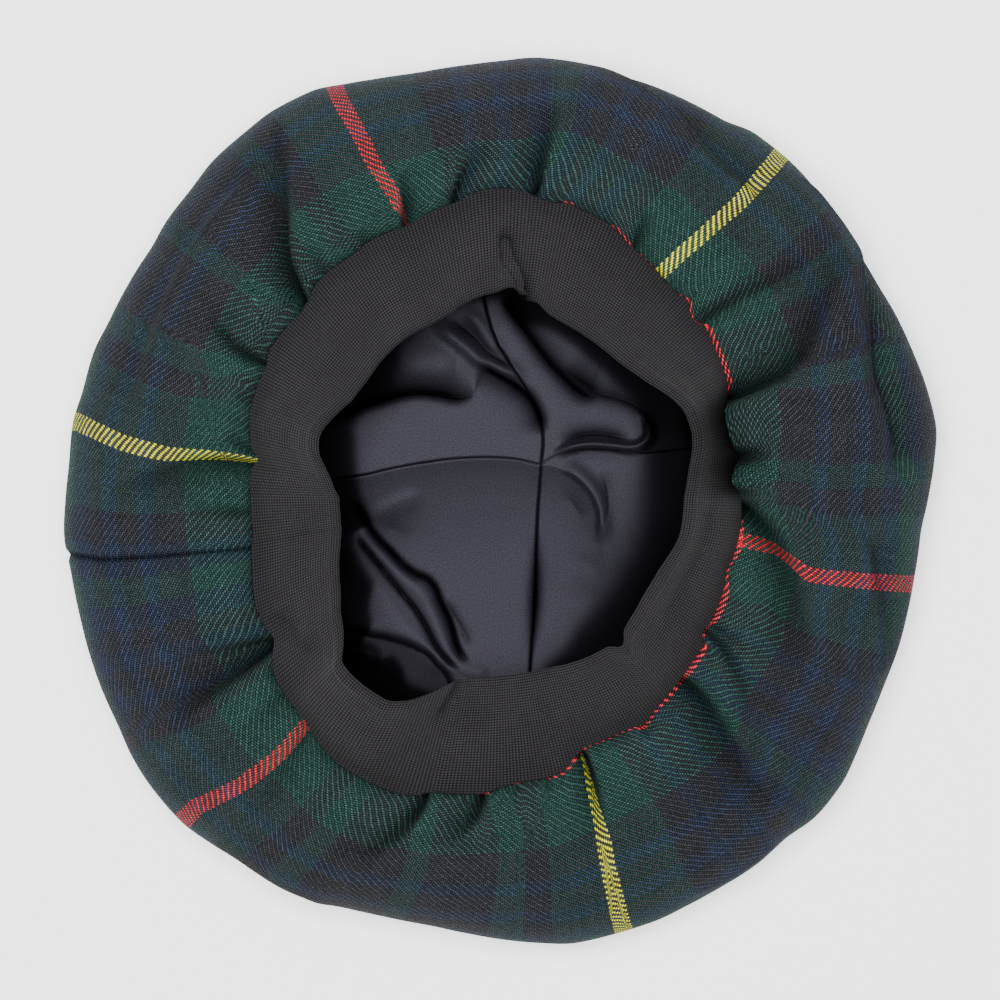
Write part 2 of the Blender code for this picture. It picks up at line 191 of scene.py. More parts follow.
# Valleys of the gathers, each along a line of (azimuth, plan radius) from the band out. At a
# crisp side the next lobe stands over the valley: 1 is the side of larger azimuths.
GATHERS = (
    # depth, half width, crisp side, line
    (2.5, 1.8, 0, ((-177.3, 79.3), (-177.8, 89.6), (-178.5, 98.1))),
    (4.0, 1.5, -1, ((-148.3, 83.0), (-150, 91.2), (-152, 100), (-154.5, 109.4))),
    (7.0, 3.2, 1, ((-147.3, 83.7), (-146.8, 100.6), (-146.3, 113.2), (-145.3, 125.8))),
    (1.5, 2.0, 0, ((-138, 91.2), (-137.5, 99.1), (-137.3, 105.4))),
    (2.2, 3.0, 0, ((-129.5, 93.4), (-128.5, 110.1), (-128, 125.8))),
    (2.0, 1.0, 0, ((-115.8, 97.5), (-115.3, 102.2))),
    (7.5, 1.7, 1, ((-103.8, 94.4), (-105, 102.2), (-107, 110.1), (-109.5, 116.4), (-113, 122))),
    (7.0, 1.8, 1, ((-93.3, 93.1), (-94.5, 99.1), (-96.5, 104.4), (-98.8, 109.1))),
    (1.5, 1.0, 0, ((-86.8, 89.6), (-88, 95.9))),
    (1.5, 1.0, 0, ((-80.3, 88.7), (-80.5, 92.8))),
    (10.0, 1.5, 1, ((-72, 82.4), (-72, 94.4), (-72.5, 103.8), (-73.2, 110.7))),
    (2.5, 1.0, 0, ((-57.6, 83.7), (-57.8, 88.1))),
    (5.5, 3.6, 1, ((-44.6, 79.9), (-45, 91.2), (-46.6, 103.8), (-48.6, 116.4), (-47.5, 129.6))),
    (4.5, 1.6, 0, ((-32.3, 75.8), (-33, 82.4), (-35, 89.6), (-37.8, 96.6), (-41.5, 104.4))),
    (3.0, 1.6, 0, ((-30.8, 76.1), (-31, 84.9), (-31.5, 91.2))),
    (10.0, 3.0, 1, (
        (-1, 75.5), (-4, 80.5), (-8, 86.5), (-12, 91.5), (-15, 94.5), (-18.5, 98), (-23, 103),
        (-27, 108.5),
    )),
    (9.0, 2.4, 0, ((10.6, 74.9), (10, 80.2), (9, 86.5))),
    (8.5, 2.8, -1, (
        (24.5, 76.4), (24.2, 88.1), (24.3, 97.5), (26, 106.3), (29.5, 114.8), (33, 124.2), (35.3, 133.7),
    )),
    (3.5, 2.2, 0, ((41.5, 84.3), (40.6, 99.1), (39, 108.5), (37.8, 121.1), (36.8, 130.5))),
    (2.5, 1.0, 0, ((42.8, 83), (43, 89.6))),
    (5.0, 1.4, 0, ((62, 89.3), (62.3, 94.4), (62.8, 102.2))),
    (8.5, 1.9, -1, ((83.6, 96.2), (83.2, 106.9), (82.6, 113.8), (81.5, 124.2))),
    (6.0, 1.5, 1, ((99.2, 94.4), (97, 100.6), (95, 106.3), (93.5, 112))),
    (7.0, 1.5, 1, ((109.3, 91.2), (107.6, 95.9), (107, 101.3), (106.5, 107.6))),
    (2.0, 1.5, 0, ((117.5, 90.9), (117, 95.9))),
    (2.5, 1.6, 0, ((127.3, 89.6), (127.3, 100.6))),
    (8.5, 2.6, -1, (
        (134.7, 86.5), (134.2, 91.2), (132.5, 99.1), (130.3, 105.4), (128, 110.7), (125.3, 118.2),
        (123, 125.8), (121.2, 133.7), (120.3, 139),
    )),
    (6.0, 1.5, 0, ((149.8, 84.9), (150.2, 91.2), (150, 96.9), (148.8, 103.1), (147, 108.5))),
    (1.5, 1.5, 0, ((158, 83.7), (158, 89.6))),
    (3.5, 1.2, 0, ((168.8, 78.3), (168, 82.4), (167, 88.1))),
    (4.5, 2.6, -1, ((171.8, 77.4), (172.6, 91.2), (174, 101.3), (176.3, 110.7), (178.5, 122))),
)

# The ring's back seam, from the band to the rim: its line, its length in plan, and how deep it
# lies in the cloth, mm
BACK_SEAM = ((-169.0, 79.0), (-170.0, 94.5), (-170.7, 110.0), (-171.5, 126.0), (-172.8, 136.0))
BACK_SEAM_LENGTH = 57.5
BACK_SEAM_SINK = 1.1
# The azimuth just short of it, from which places round the ring are counted
RING_START = -170.0

# Lobes that hang over the band, with a painted shadow under them on the ring and the band
OVERHANGS = (
    # azimuth, half width in degrees, distance
    (5.8, 3.5, 5.8),
    (17.2, 6.2, 5.2),
)

# Soft creases of the swelling, each along a line of (azimuth, plan radius). A crease is a
# ridge with a drop on its outer side, which hides some cloth.
CREASES = (
    # height, cloth hidden, line
    (1.2, 0.0, ((-131, 139), (-127, 138.1), (-120, 137.8), (-112, 137.1))),
    (1.0, 0.0, ((-65, 136.8), (-58, 138.4), (-50, 137.8))),
    (2.0, 2.0, (
        (-26, 132.7), (-22, 128.6), (-19, 125.1), (-15.5, 121.7), (-13, 118.8), (-10, 116.3), (-5, 113.8),
    )),
    (2.4, 6.0, (
        (1, 122), (5, 121.5), (9, 122), (14, 121.3), (18, 120.7), (22, 122.9), (28, 128), (33, 133.7),
        (36, 136.5), (43, 137.1), (50, 138.1),
    )),
    (1.8, 3.0, (
        (48, 122.9), (53, 123.2), (57, 123.9), (60, 125.5), (65, 130.2), (70, 134.3), (75, 137.1),
        (80, 139.7),
    )),
    (0.7, 1.5, (
        (125, 126.4), (133, 125.8), (140, 123.6), (147, 121), (153, 119.1), (160, 117.6), (168, 115.7),
    )),
)

# The tartan's lines across the strip, each along a line of (azimuth, plan radius)
WARP_LINES = (
    # place along the strip in sixes of threads, line
    (26.0, BACK_SEAM),
    (30.5, ((-165.2, 88), (-165.6, 105), (-166, 120), (-167.5, 136))),
    (61.0, ((-130.7, 88), (-130.8, 105), (-132.2, 120), (-134.8, 136))),
    (122.0, ((-72.1, 88), (-72.9, 105), (-73.8, 120), (-74.2, 136))),
    (183.0, ((-9.9, 82), (-10.2, 88), (-13.9, 99), (-13.9, 101.6), (-12.3, 125.7), (-11.6, 136))),
    (244.0, ((54.3, 88), (52.3, 105), (50.9, 120), (50.6, 136))),
    (305.0, ((109.4, 88), (108.4, 95), (108.4, 101), (109.9, 112), (110.2, 120), (111.2, 136))),
    (366.0, ((170.6, 88), (171.5, 105), (170.7, 120), (168.8, 136))),
    (383.2, tuple((azimuth + 360.0, radius) for azimuth, radius in BACK_SEAM)),
)


def mirrored(half):
    """Stripes that run back again from the last one, as a sett's do."""
    return (*half, *half[-2::-1])


# The sett: colours and widths in threads, each 0.45 mm, from the middle of a yellow line
THREAD = 0.45
THREADS_PER_PLACE = 6
YELLOW_HALF = ("yellow", 6.5)
RED_LINE = ("red", 13)
GREEN_WIDTH = 55
BLUE_BLOCK = mirrored((
    ("green", GREEN_WIDTH), ("black", 27), ("blue", 14), ("black", 19), ("blue", 14), ("black", 17),
    ("blue", 19), ("green", 23),
))
BLACK_BLOCK = mirrored((("green", 49), ("black", 24), ("green", 24), ("black", 69), ("green", 22)))
SETT = (YELLOW_HALF, *BLUE_BLOCK, RED_LINE, *BLACK_BLOCK, YELLOW_HALF)

# The drawn yarns' spacing, mm, along the strip and out from the band, and the yarns after which
# the twill repeats. They are coarser than the threads, which would be too fine to show.
WARP_PITCH = 0.8
WEFT_PITCH = 0.64
TWILL_CYCLE = 4.0
# How much of the colour of the yarn below its hairs lay over a float, up to a lightness
FUZZ = 0.22
FUZZ_LIGHT = 0.03

# The flat cut of each piece before it is sewn into the hat. The band's is its size as it is
# sewn, folded double.
CUTS = {
    # node: (width and length in mm, area in square mm unless it's a rectangle, how it's
    # held, what it lies on)
    "tartan_ring": (106.0, 964.0, None, "gathered", ["tartan_crown"]),
    "crown": (243.0, 246.0, 46300.0, "laid", []),
    "headband": (36.0, 545.0, None, "stretched", ["gathered_tartan_ring"]),
    "lining_gore_top_right": (126.0, 96.0, 7900.0, "laid", ["tartan_crown"]),
    "lining_gore_top_left": (125.0, 116.0, 8700.0, "laid", ["tartan_crown"]),
    "lining_gore_bottom_left": (151.0, 155.0, 13600.0, "laid", ["tartan_crown"]),
    "lining_gore_bottom_right": (136.0, 103.0, 9300.0, "laid", ["tartan_crown"]),
}

# Pinches and the back join of the band, each along a line of (azimuth, plan radius)
BAND_FURROWS = (
    # depth, width towards smaller azimuths, width towards larger ones, line
    (0.5, 0.5, 0.5, ((-170, 47), (-170, 84))),
    (2.2, 1.2, 1.2, ((-102.5, 57), (-103.5, 61), (-105, 66), (-106, 72))),
    (5.0, 3.0, 1.2, ((83, 60), (84, 66.7), (85, 69.5), (87, 73.6), (88.5, 76.1), (89.5, 86))),
    (1.2, 3.0, 3.0, ((-154, 79), (-147, 77), (-140, 76.5))),
    (1.2, 3.0, 3.0, ((-38, 64), (-30, 63.5), (-20, 64), (-8, 66), (0, 66.5))),
)

# The lining's seams, each from the crossing out, as the photo's pixels
LINING_SEAMS = {
    "right": (
        (541, 465), (547, 460), (556, 456), (570, 452), (590, 450), (610, 451), (640, 454), (700, 448),
        (760, 440),
    ),
    "top": (
        (541, 465), (543, 445), (542, 430), (538, 415), (531, 400), (521, 381), (510, 364), (499, 347),
        (492, 330), (487, 313), (483, 295), (478, 260), (470, 190),
    ),
    "left": (
        (541, 465), (520, 460), (500, 458), (470, 458), (430, 462), (400, 467), (370, 474), (352, 477),
        (320, 482), (240, 496),
    ),
    "bottom": (
        (541, 465), (540, 480), (538, 505), (536, 560), (535, 600), (532, 640), (530, 668), (524, 760),
    ),
}
GORES = (
    # node, first seam, next seam counterclockwise
    ("lining_gore_top_right", "right", "top"),
    ("lining_gore_top_left", "top", "left"),
    ("lining_gore_bottom_left", "left", "bottom"),
    ("lining_gore_bottom_right", "bottom", "right"),
)

# How clearly each seam shows: the depth of its groove and the painted shade in it
SEAM_SHOWS = {"right": 0.25, "top": 0.8, "left": 0.5, "bottom": 0.8}

# Plan radius at which the lining's floor begins to climb, and where the band's painted shade begins
LINING_FOOT = {
    -178: 44.1, -170.5: 42.9, -166.7: 48.4, -161: 49.4, -148: 48.9, -141: 54.5, -136: 58, -133.5: 65,
    -128: 65.5, -124.5: 61.5, -121: 62.5, -116: 66.5, -107: 66, -100: 65, -88: 63, -78: 59, -73.8: 56,
    -66.8: 53.5, -58: 50, -45: 48.5, -31: 48.5, -21: 49, -12: 48.8, 0: 48.2, 10: 48.8, 17: 49.8, 25: 52.6,
    35: 54.5, 45.8: 53.5, 55: 54, 66: 56, 75.5: 57.5, 83.5: 57.5, 91: 64.8, 103: 66, 112: 64.5, 122: 61,
    128: 55, 136: 51.5, 146: 54, 153: 53.5, 158: 51, 165: 48.6, 172: 46.7,
}

# Panels of the lining that stand higher or lower than the rest. A panel falls off to the
# right of each of its edges, over the edge's width.
LINING_PANELS = (
    # height in mm, ((width in mm, 1 for a crisp fall or 2 for a rounded one, edge in px), ...)
    (6.5, (
        (19.0, 1, (
            (-60, 520), (330, 480), (352, 476), (370, 473), (400, 466), (430, 461), (470, 457), (500, 457),
            (520, 459), (541, 465), (555, 467), (568, 474), (580, 484), (590, 497), (597, 510), (601, 525),
            (604, 560), (606, 800),
        )),
        (32.0, 2, ((0, 500), (1000, 500))),
    )),
    (-4.5, (
        (0.7, 1, (
            (500, 800), (462, 715), (447, 678), (437, 666), (428, 656), (412, 647), (395, 641), (378, 637),
            (365, 636), (345, 632), (100, 610),
        )),
    )),
)

# Ridges of the lining and, with a negative height, its valleys
LINING_FOLDS = (
    # height, width to its left, width to its right in mm, share of it that fades, line in px
    (-3.6, 4.5, 1.1, 0.2, (
        (325, 424), (345, 413), (362, 406), (380, 401), (400, 395), (420, 393), (440, 395), (456, 398),
        (470, 396), (480, 392),
    )),
    (-2.6, 1.3, 3.4, 0.18, (
        (474, 367), (484, 369), (500, 378), (515, 386), (530, 398), (539, 415), (544, 436),
    )),
    (2.0, 3.2, 2.6, 0.25, (
        (430, 322), (450, 335), (465, 346), (478, 358), (490, 365), (508, 374), (526, 386),
    )),
    (-1.3, 2.6, 2.2, 0.25, ((448, 318), (462, 327), (476, 338), (490, 353), (503, 362), (516, 374))),
    (1.0, 2.6, 2.2, 0.3, ((462, 308), (478, 324), (490, 344), (505, 358))),
    (1.6, 7.5, 7.5, 0.0, ((422, 368), (440, 366))),
    (2.4, 1.3, 2.0, 0.2, (
        (550, 457), (568, 448), (588, 444), (610, 445), (630, 447), (642, 443), (648, 434), (645, 420),
        (636, 410),
    )),
    (-1.5, 2.4, 0.9, 0.3, ((558, 444), (574, 437), (592, 434), (612, 436), (634, 441))),
    (-0.9, 0.9, 1.6, 0.3, ((552, 460), (575, 452), (600, 451), (620, 453), (642, 456))),
    (1.2, 3.0, 1.2, 0.25, (
        (556, 465), (573, 473), (586, 484), (596, 498), (601, 514), (600, 532), (596, 545),
    )),
    (-0.6, 2.4, 2.0, 0.3, ((602, 468), (607, 488), (608, 508), (604, 530))),
    (-0.6, 4.5, 4.5, 0.0, ((570, 500), (578, 512))),
    (-2.5, 0.6, 1.0, 0.08, (
        (352, 500), (362, 513), (370, 527), (380, 540), (391, 551), (403, 564), (415, 573), (428, 579),
        (436, 589), (441, 602), (448, 616), (453, 630), (457, 645), (463, 656), (471, 661),
    )),
    (-1.9, 0.5, 0.6, 0.08, (
        (356, 535), (363, 545), (372, 556), (386, 573), (400, 590), (415, 608), (426, 626), (436, 645),
        (446, 658), (459, 671),
    )),
    (0.5, 2.4, 2.4, 0.05, (
        (357, 528), (366, 535), (376, 548), (390, 563), (405, 578), (420, 592), (432, 612), (442, 635),
        (451, 653), (462, 667), (478, 672), (490, 668),
    )),
    (0.6, 3.0, 5.0, 0.1, (
        (353, 532), (357, 552), (368, 575), (386, 600), (403, 624), (419, 642), (433, 658), (446, 674),
    )),
    (-0.8, 1.6, 2.0, 0.3, ((444, 597), (452, 612), (461, 628), (468, 642), (471, 652))),
    (0.5, 2.6, 4.0, 0.3, ((372, 526), (381, 514), (393, 506), (408, 500), (428, 498))),
    (-0.7, 6.0, 6.0, 0.0, ((392, 528), (404, 534))),
    (1.8, 2.6, 1.4, 0.35, ((338, 650), (350, 651), (366, 653), (383, 660))),
    (1.2, 1.2, 1.2, 0.35, ((345, 661), (358, 662), (380, 661))),
    (-2.6, 4.4, 1.8, 0.14, (
        (501, 296), (515, 315), (527, 332), (540, 350), (553, 366), (567, 380), (583, 393), (600, 399),
    )),
    (-1.7, 6.5, 2.6, 0.2, (
        (560, 368), (583, 385), (600, 394), (620, 399), (640, 409), (651, 424), (655, 442),
    )),
    (-1.9, 1.5, 1.5, 0.5, ((537, 520), (536, 575), (534, 620), (531, 672))),
)


def wrapped(angle):
    return (angle + 180.0) % 360.0 - 180.0


def polar(azimuth, radius):
    angle = np.radians(azimuth)
    return radius * np.cos(angle), radius * np.sin(angle)


def closed_curve(table, azimuth):
    """A table's value at any azimuth, on a smooth closed curve that stays between its rows."""
    at, values = np.array(list(table.items()), dtype=float).T
    at = np.concatenate((at[-2:] - 360.0, at, at[:2] + 360.0))
    values = np.concatenate((values[-2:], values, values[:2]))
    gap = np.diff(at)
    rise = np.diff(values) / gap
    product = rise[:-1] * rise[1:]
    total = np.where(product > 0, rise[:-1] + rise[1:], 1.0)
    slope = np.concatenate(((0.0,), np.where(product > 0, 2 * product / total, 0.0), (0.0,)))
    angle = wrapped(azimuth)
    cell = np.searchsorted(at, angle, side="right") - 1
    share = (angle - at[cell]) / gap[cell]
    low, high = values[cell], values[cell + 1]
    slope_low, slope_high = slope[cell] * gap[cell], slope[cell + 1] * gap[cell]
    cubic = 2 * (low - high) + slope_low + slope_high
    square = 3 * (high - low) - 2 * slope_low - slope_high
    return low + share * (slope_low + share * (square + share * cubic))


def smooth_line(line, steps=5):
    """Points of a smooth curve through a line's points."""
    points = np.array(line, dtype=float)
    ends = np.vstack((2 * points[0] - points[1], points, 2 * points[-1] - points[-2]))
    curve = []
    for before, start, end, after in zip(ends, ends[1:], ends[2:], ends[3:]):
        for share in np.arange(steps) / steps:
            square = 2 * before - 5 * start + 4 * end - after
            cubic = 3 * start - before - 3 * end + after
            curve.append(start + share / 2 * (end - before + share * (square + share * cubic)))
    return [*(tuple(point) for point in curve), tuple(points[-1])]


def plan_line(line):
    """A line of (azimuth, radius) as a smooth curve of (x, y)."""
    return smooth_line([polar(*point) for point in line])


def falloff(distance, width, power=2):
    """1 at a line, falling away to nothing. It is 1/e at a width's distance."""
    return np.exp(-(np.abs(distance / width) ** power))


def passed(distance, width):
    """0 well before a line and 1 well past it, with a smooth rise between."""
    return 0.5 + 0.5 * np.tanh(distance / width)


def beside_line(x, y, line, end_share=0.14):
    """Distance from points to a line, positive on its right, and a fade at its ends."""
    nearest = np.full(x.shape, 1e9)
    side = np.zeros(x.shape)
    along = np.zeros(x.shape)
    lengths = [math.dist(a, b) for a, b in zip(line, line[1:])]
    done = 0.0
    for (ax, ay), (bx, by), length in zip(line, line[1:], lengths):
        ux, uy = (bx - ax) / length, (by - ay) / length
        share = np.clip((x - ax) * ux + (y - ay) * uy, 0.0, length)
        away = np.hypot(x - ax - share * ux, y - ay - share * uy)
        aside = (x - ax) * uy - (y - ay) * ux
        closer = away < nearest - 1e-7
        side = np.where(closer | ((away < nearest + 1e-7) & (np.abs(aside) > np.abs(side))), aside, side)
        nearest = np.minimum(nearest, away)
        along = np.where(closer, (done + share) / sum(lengths), along)
        done += length
    fade = np.clip(np.minimum(along, 1 - along) / max(end_share, 1e-6), 0.0, 1.0)
    fade = fade * fade * (3 - 2 * fade) if end_share else np.ones(x.shape)
    return np.where(side < 0, -nearest, nearest), fade


def beside_edge(x, y, line):
    """Distance to a line, positive on its right. Away from the line it is a mean over all of
    it, so that it turns gently where two stretches are equally near."""
    away, _ = beside_line(x, y, line)
    total = np.zeros(x.shape)
    for (ax, ay), (bx, by) in zip(line, line[1:]):
        apart = np.maximum(np.hypot(x - (ax + bx) / 2, y - (ay + by) / 2), 0.5)
        total += math.dist((ax, ay), (bx, by)) * apart**-NEARNESS
    gentle = (total / STRAIGHT_SUM) ** (-1.0 / (NEARNESS - 1))
    share = np.clip((np.abs(away) - EXACT_TO) / (GENTLE_FROM - EXACT_TO), 0.0, 1.0)
    return np.sign(away) * (np.abs(away) * (1 - share) + gentle * share)


def straight_edge(x, y, line):
    """Distance to the straight line between a line's ends, positive on its right."""
    return beside_line(x, y, (line[0], line[-1]))[0]


def azimuth_at(line, radius):
    """Azimuth at which a line of (azimuth, radius) passes a radius."""
    azimuths, radii = np.transpose(line)
    return np.interp(radius, radii, azimuths)


def gather_places(azimuth, radius):
    """For each gather: its depth, its half width and its crisp side, the distance across its
    line, the line's slant, and its strength."""
    for depth, half_width, crisp, line in GATHERS:
        start, end = line[0][1], line[-1][1]
        ahead = azimuth_at(line, radius + 1.5) - azimuth_at(line, radius - 1.5)
        slant = np.radians(ahead / 3.0) * radius
        level = 1.0 / np.hypot(1.0, slant)
        share = np.clip((radius - start) / (end - start), 0.0, 1.0)
        across = np.radians(wrapped(azimuth - azimuth_at(line, radius))) * radius * level
        strength = (1 - share) ** ENDING_POWER
        yield depth, half_width * (1 + WIDENING * share), crisp, across, slant * level, strength


def ring_lift(shape, azimuth, out):
    """Swell of the lobes over the plain profile less the valleys between them, the lobes' lean,
    how deep in a valley each place lies, and its painted light: painted shade in the valleys' cores and
    along the band."""
    onset = 1 - falloff(out, shape.valley_onset, 1)
    lift = shape.lobe_height * (1 - falloff(out, shape.lobe_onset, 1)) * falloff(out, shape.lobe_reach, 1)
    lean, hollow, painted_crease_shade = (np.zeros(out.shape) for _ in range(3))
    radius = closed_curve(SEAM, azimuth) + out
    for depth, width, crisp, across, _, strength in gather_places(azimuth, radius):
        sides = np.where(across * crisp > 0, CRISP_SIDE, SOFT_SIDE)
        side_width = width * sides if crisp else width
        valley = strength * falloff(across, side_width, VALLEY_POWER)
        lift -= shape.valley_depth * depth * onset * valley
        lean += LOBE_LEAN * crisp * depth * onset * valley
        hollow = np.maximum(hollow, valley)
        # Painted shade in the core of each valley, darker for deeper gathers
        core = falloff(across, 0.8 * side_width, 1.5) * strength**0.45
        painted_crease_shade = np.maximum(painted_crease_shade, core * min(1.0, 0.18 + depth / 7.5))
    puckers = sum(np.sin(np.radians(azimuth * times) + start) for times, start in PUCKERS)
    lift += shape.pucker_height * puckers * onset * falloff(out, 9.0, 1) * (1 - hollow)
    # The last factor is painted shade along the band, where the ring meets it
    return lift, lean, hollow, (1 - 0.9 * painted_crease_shade) * (1 - 0.4 * falloff(out, 0.9, 1))


def crease_places(azimuth, radius):
    """For each crease: height, hidden cloth, distance to its outer side, and a fade."""
    x, y = polar(azimuth, radius)
    for height, hidden, line in CREASES:
        away, fade = beside_line(x, y, plan_line(line))
        yield height, hidden, away, fade


def ring_creases(azimuth, radius):
    """Lift of the creases, and the painted light of the cloth beside them: painted shade past their outer
    side.
    """
    lift = np.zeros(radius.shape)
    painted_light = np.ones(radius.shape)
    for height, _, away, fade in crease_places(azimuth, radius):
        outer = 1.7 * falloff(away, 2.2) - 0.7 * falloff(away, 8.0)
        lift += 2.0 * height * fade * np.where(away > 0, outer, falloff(away, 7.0, 1))
        # Painted shade past each crease's outer side
        shade = falloff(np.maximum(away, 0.0), 6.0, 1) * passed(away, 0.8)
        painted_light *= 1 - min(0.65, 0.28 * height) * fade * shade
    return lift, painted_light


def ring_turns(columns):
    """Shares of the way round, closer together near the gathers."""
    turn = np.linspace(0.0, 1.0, 3601)
    crowd = np.ones(turn.shape)
    for _, _, _, line in GATHERS:
        crowd += 1.3 * falloff(wrapped(turn * 360.0 + RING_START + 0.5 - line[0][0]), 2.6)
    total = np.concatenate(((0.0,), np.cumsum(crowd[1:] + crowd[:-1])))
    return np.interp(np.linspace(0.0, total[-1], columns + 1), total, turn)


def overhang(azimuth, out, hollow):
    """How far the lobes hang over the band, and the painted shadow under them on the ring, as painted
    light.
    """
    roll = (out / 2.5) * np.exp(1 - out / 2.5) * (1 - 0.85 * hollow**1.5)
    hang = np.zeros(out.shape)
    painted_light = np.ones(out.shape)
    for middle, half_width, distance in OVERHANGS:
        from_middle = wrapped(azimuth - middle)
        hang += distance * falloff(from_middle, half_width, 4) * roll
        # Painted shadow under the lobe
        painted_light *= 1 - 0.75 * falloff(from_middle, 1.4 * half_width, 4) * falloff(out, 5.0)
    return hang, painted_light


def rolled_under(azimuth, radius, height, painted_light, rows):
    """The ring's grid with the rows added that go from the rim under to the crown."""
    turn = np.linspace(0.0, 1.0, rows + 1)[1:, None] * math.pi / 2
    low_radius = radius[-1] - ROLL_UNDER * (1 - np.cos(turn))
    low_height = height[-1] - (height[-1] - CROWN_EDGE_HEIGHT) * np.sin(turn)
    low = (azimuth[-1] + 0 * turn, low_radius, low_height, 1 + 0 * low_radius)
    return (np.vstack(pair) for pair in zip((azimuth, radius, height, painted_light), low))


def ring_points(shape, columns, rows_over, rows_under):
    """Places of the ring's grid in mm, row by row out from the band."""
    turn = ring_turns(columns)[None, :]
    over = np.linspace(0.0, 1.0, rows_over + 1)[:, None] ** 1.35 * math.pi / 2
    seam_radius = BACK_SEAM[0][1] + BACK_SEAM_LENGTH * np.sin(over)
    azimuth = azimuth_at(BACK_SEAM, seam_radius) + 360.0 * turn
    seam = closed_curve(SEAM, azimuth)
    width = closed_curve(RIM, azimuth) - seam
    drop = SEAM_HEIGHT - RIM_HEIGHT
    out = width * np.sin(over)
    normal_r, normal_z = drop * np.sin(over) + 0 * out, width * np.cos(over)
    length = np.hypot(normal_r, normal_z)
    lift, lean, hollow, painted_light = ring_lift(shape, azimuth, out)
    crease_lift, crease_painted_light = ring_creases(azimuth, seam + out)
    lift += crease_lift * np.cos(over) ** 0.5
    beside_seam = np.minimum(turn, 1 - turn) * 2 * math.pi * (seam + out)
    lift -= BACK_SEAM_SINK * falloff(beside_seam, 1.0, 1.5)
    # Painted shade beside the creases and in the back seam's groove
    painted_light *= crease_painted_light * (1 - 0.75 * falloff(beside_seam, 0.7, 1.5))
    hang, hang_painted_light = overhang(azimuth, out, hollow)
    radius = seam + out + lift * normal_r / length - hang
    height = RIM_HEIGHT + drop * np.cos(over) + lift * normal_z / length + 0.9 * hang
    height -= EDGE_DROP * falloff(out, 3.0, 1)
    azimuth = azimuth + np.degrees(lean / radius)
    grid = rolled_under(azimuth, radius, height, painted_light * hang_painted_light, rows_under)
    azimuth, radius, height, painted_light = grid
    x, y = polar(azimuth, radius)
    return np.dstack((x, y, height)), azimuth, radius, painted_light


def hidden_along(azimuth, radius):
    """Cloth along the strip that the gathers swallow on the way to a point."""
    total = np.zeros(radius.shape)
    for (depth, _, _, line), place in zip(GATHERS, gather_places(azimuth, radius)):
        _, width, crisp, across, slant, strength = place
        share = passed(across - 0.3 * crisp * width, 0.45 * width)
        ahead = azimuth - (line[0][0] - RING_START) % 360.0 - RING_START
        share = np.where(ahead < -90.0, 0.0, np.where(ahead > 90.0, 1.0, share))
        total += SWALLOWED * depth * strength * share * np.sqrt(1 - slant**2)
    return total


def hidden_outward(azimuth, radius):
    """Cloth that slanting gathers swallow on the way out along each column of the grid."""
    total = np.zeros(radius.shape)
    columns = np.arange(radius.shape[1])
    for depth, width, crisp, across, slant, strength in gather_places(azimuth, radius):
        row = np.argmin(np.abs(across), axis=0)
        here = slant[row, columns]
        outer_side = np.where(here < 0, 1.0, -1.0)
        share = passed(outer_side * (across - 0.3 * crisp * width), 0.45 * width)
        total += SWALLOWED * depth * strength[row, columns] * np.abs(here) * share
    return total


def cloth_along(azimuth, radius):
    """Places along the strip, in mm of cloth. They run evenly from line to line of the tartan."""
    swallowed = hidden_along(azimuth, radius)
    lines = []
    for place, line in WARP_LINES:
        here = azimuth_at(line, radius)
        lines.append((place * THREAD * THREADS_PER_PLACE, here, hidden_along(here, radius)))
    along = lines[0][0] + 0 * radius
    for (start, first, hidden_first), (end, last, hidden_last) in zip(lines, lines[1:]):
        share = (azimuth - first) / (last - first)
        spare = end - start - (hidden_last - hidden_first)
        here = start + (swallowed - hidden_first) + spare * share
        along = np.where((share >= 0.0) | (start == lines[0][0]), here, along)
    return along


def lengths_down(steps):
    """Length from the first row down each column, from the steps between the rows."""
    return np.vstack((np.zeros((1, steps.shape[1])), np.cumsum(steps, axis=0)))


def first_seen(radius, length):
    """Length at which each column's cloth first shows from above, past the band."""
    near = radius[:EDGE_ROWS] - radius[:EDGE_ROWS].min(axis=0)
    weight = falloff(near, 0.25, 1) * np.gradient(length[:EDGE_ROWS], axis=0)
    return (length[:EDGE_ROWS] * weight).sum(axis=0) / weight.sum(axis=0)


def at_crossing(beyond, *tables):
    """What each table says at the place where a column passes a line."""
    columns = np.arange(beyond.shape[1])
    row = np.argmax(beyond[8:] > 0, axis=0) + 8
    share = beyond[row - 1, columns] / (beyond[row - 1, columns] - beyond[row, columns])
    for table in tables:
        before, after = table[row - 1, columns], table[row, columns]
        yield before + share * (after - before)


def cloth_outward(points, azimuth, radius):
    """Places out from the red line, in mm of cloth. The first green ends where its table says."""
    hidden_out = hidden_outward(azimuth, radius)
    length = lengths_down(np.linalg.norm(np.diff(points, axis=0), axis=2))
    shows = first_seen(radius, length)
    edge = closed_curve(GREEN_EDGE, azimuth)
    at_edge, hidden_edge = at_crossing(radius - edge, length, hidden_out)
    green = GREEN_WIDTH * THREAD
    red = RED_STRETCH * closed_curve(RED_SHOWN, azimuth[0])
    tucked = green - 1.06 * (edge[0] - closed_curve(SEAM, azimuth[0]))
    first = np.where(red > 0.3, -red, np.maximum(0.3, tucked))
    gain = green - first - (hidden_edge - hidden_out[0])
    gain = np.maximum(gain, 0.6 * (at_edge - shows))
    past_green = length - at_edge
    hidden_past = hidden_out - hidden_edge
    across = green + gain * past_green / (at_edge - shows) + hidden_past
    across = np.where(past_green > 0, green + OUTER_STRETCH * past_green + hidden_past, across)
    across = np.where(length < shows, first - (shows - length), across)
    across = np.where(closed_curve(RED_SHOWN, azimuth) < 0.1, np.maximum(across, 0.05), across)
    for _, hidden, away, fade in crease_places(azimuth, radius):
        across += hidden * fade * passed(away - 1.0, 1.5)
    return across


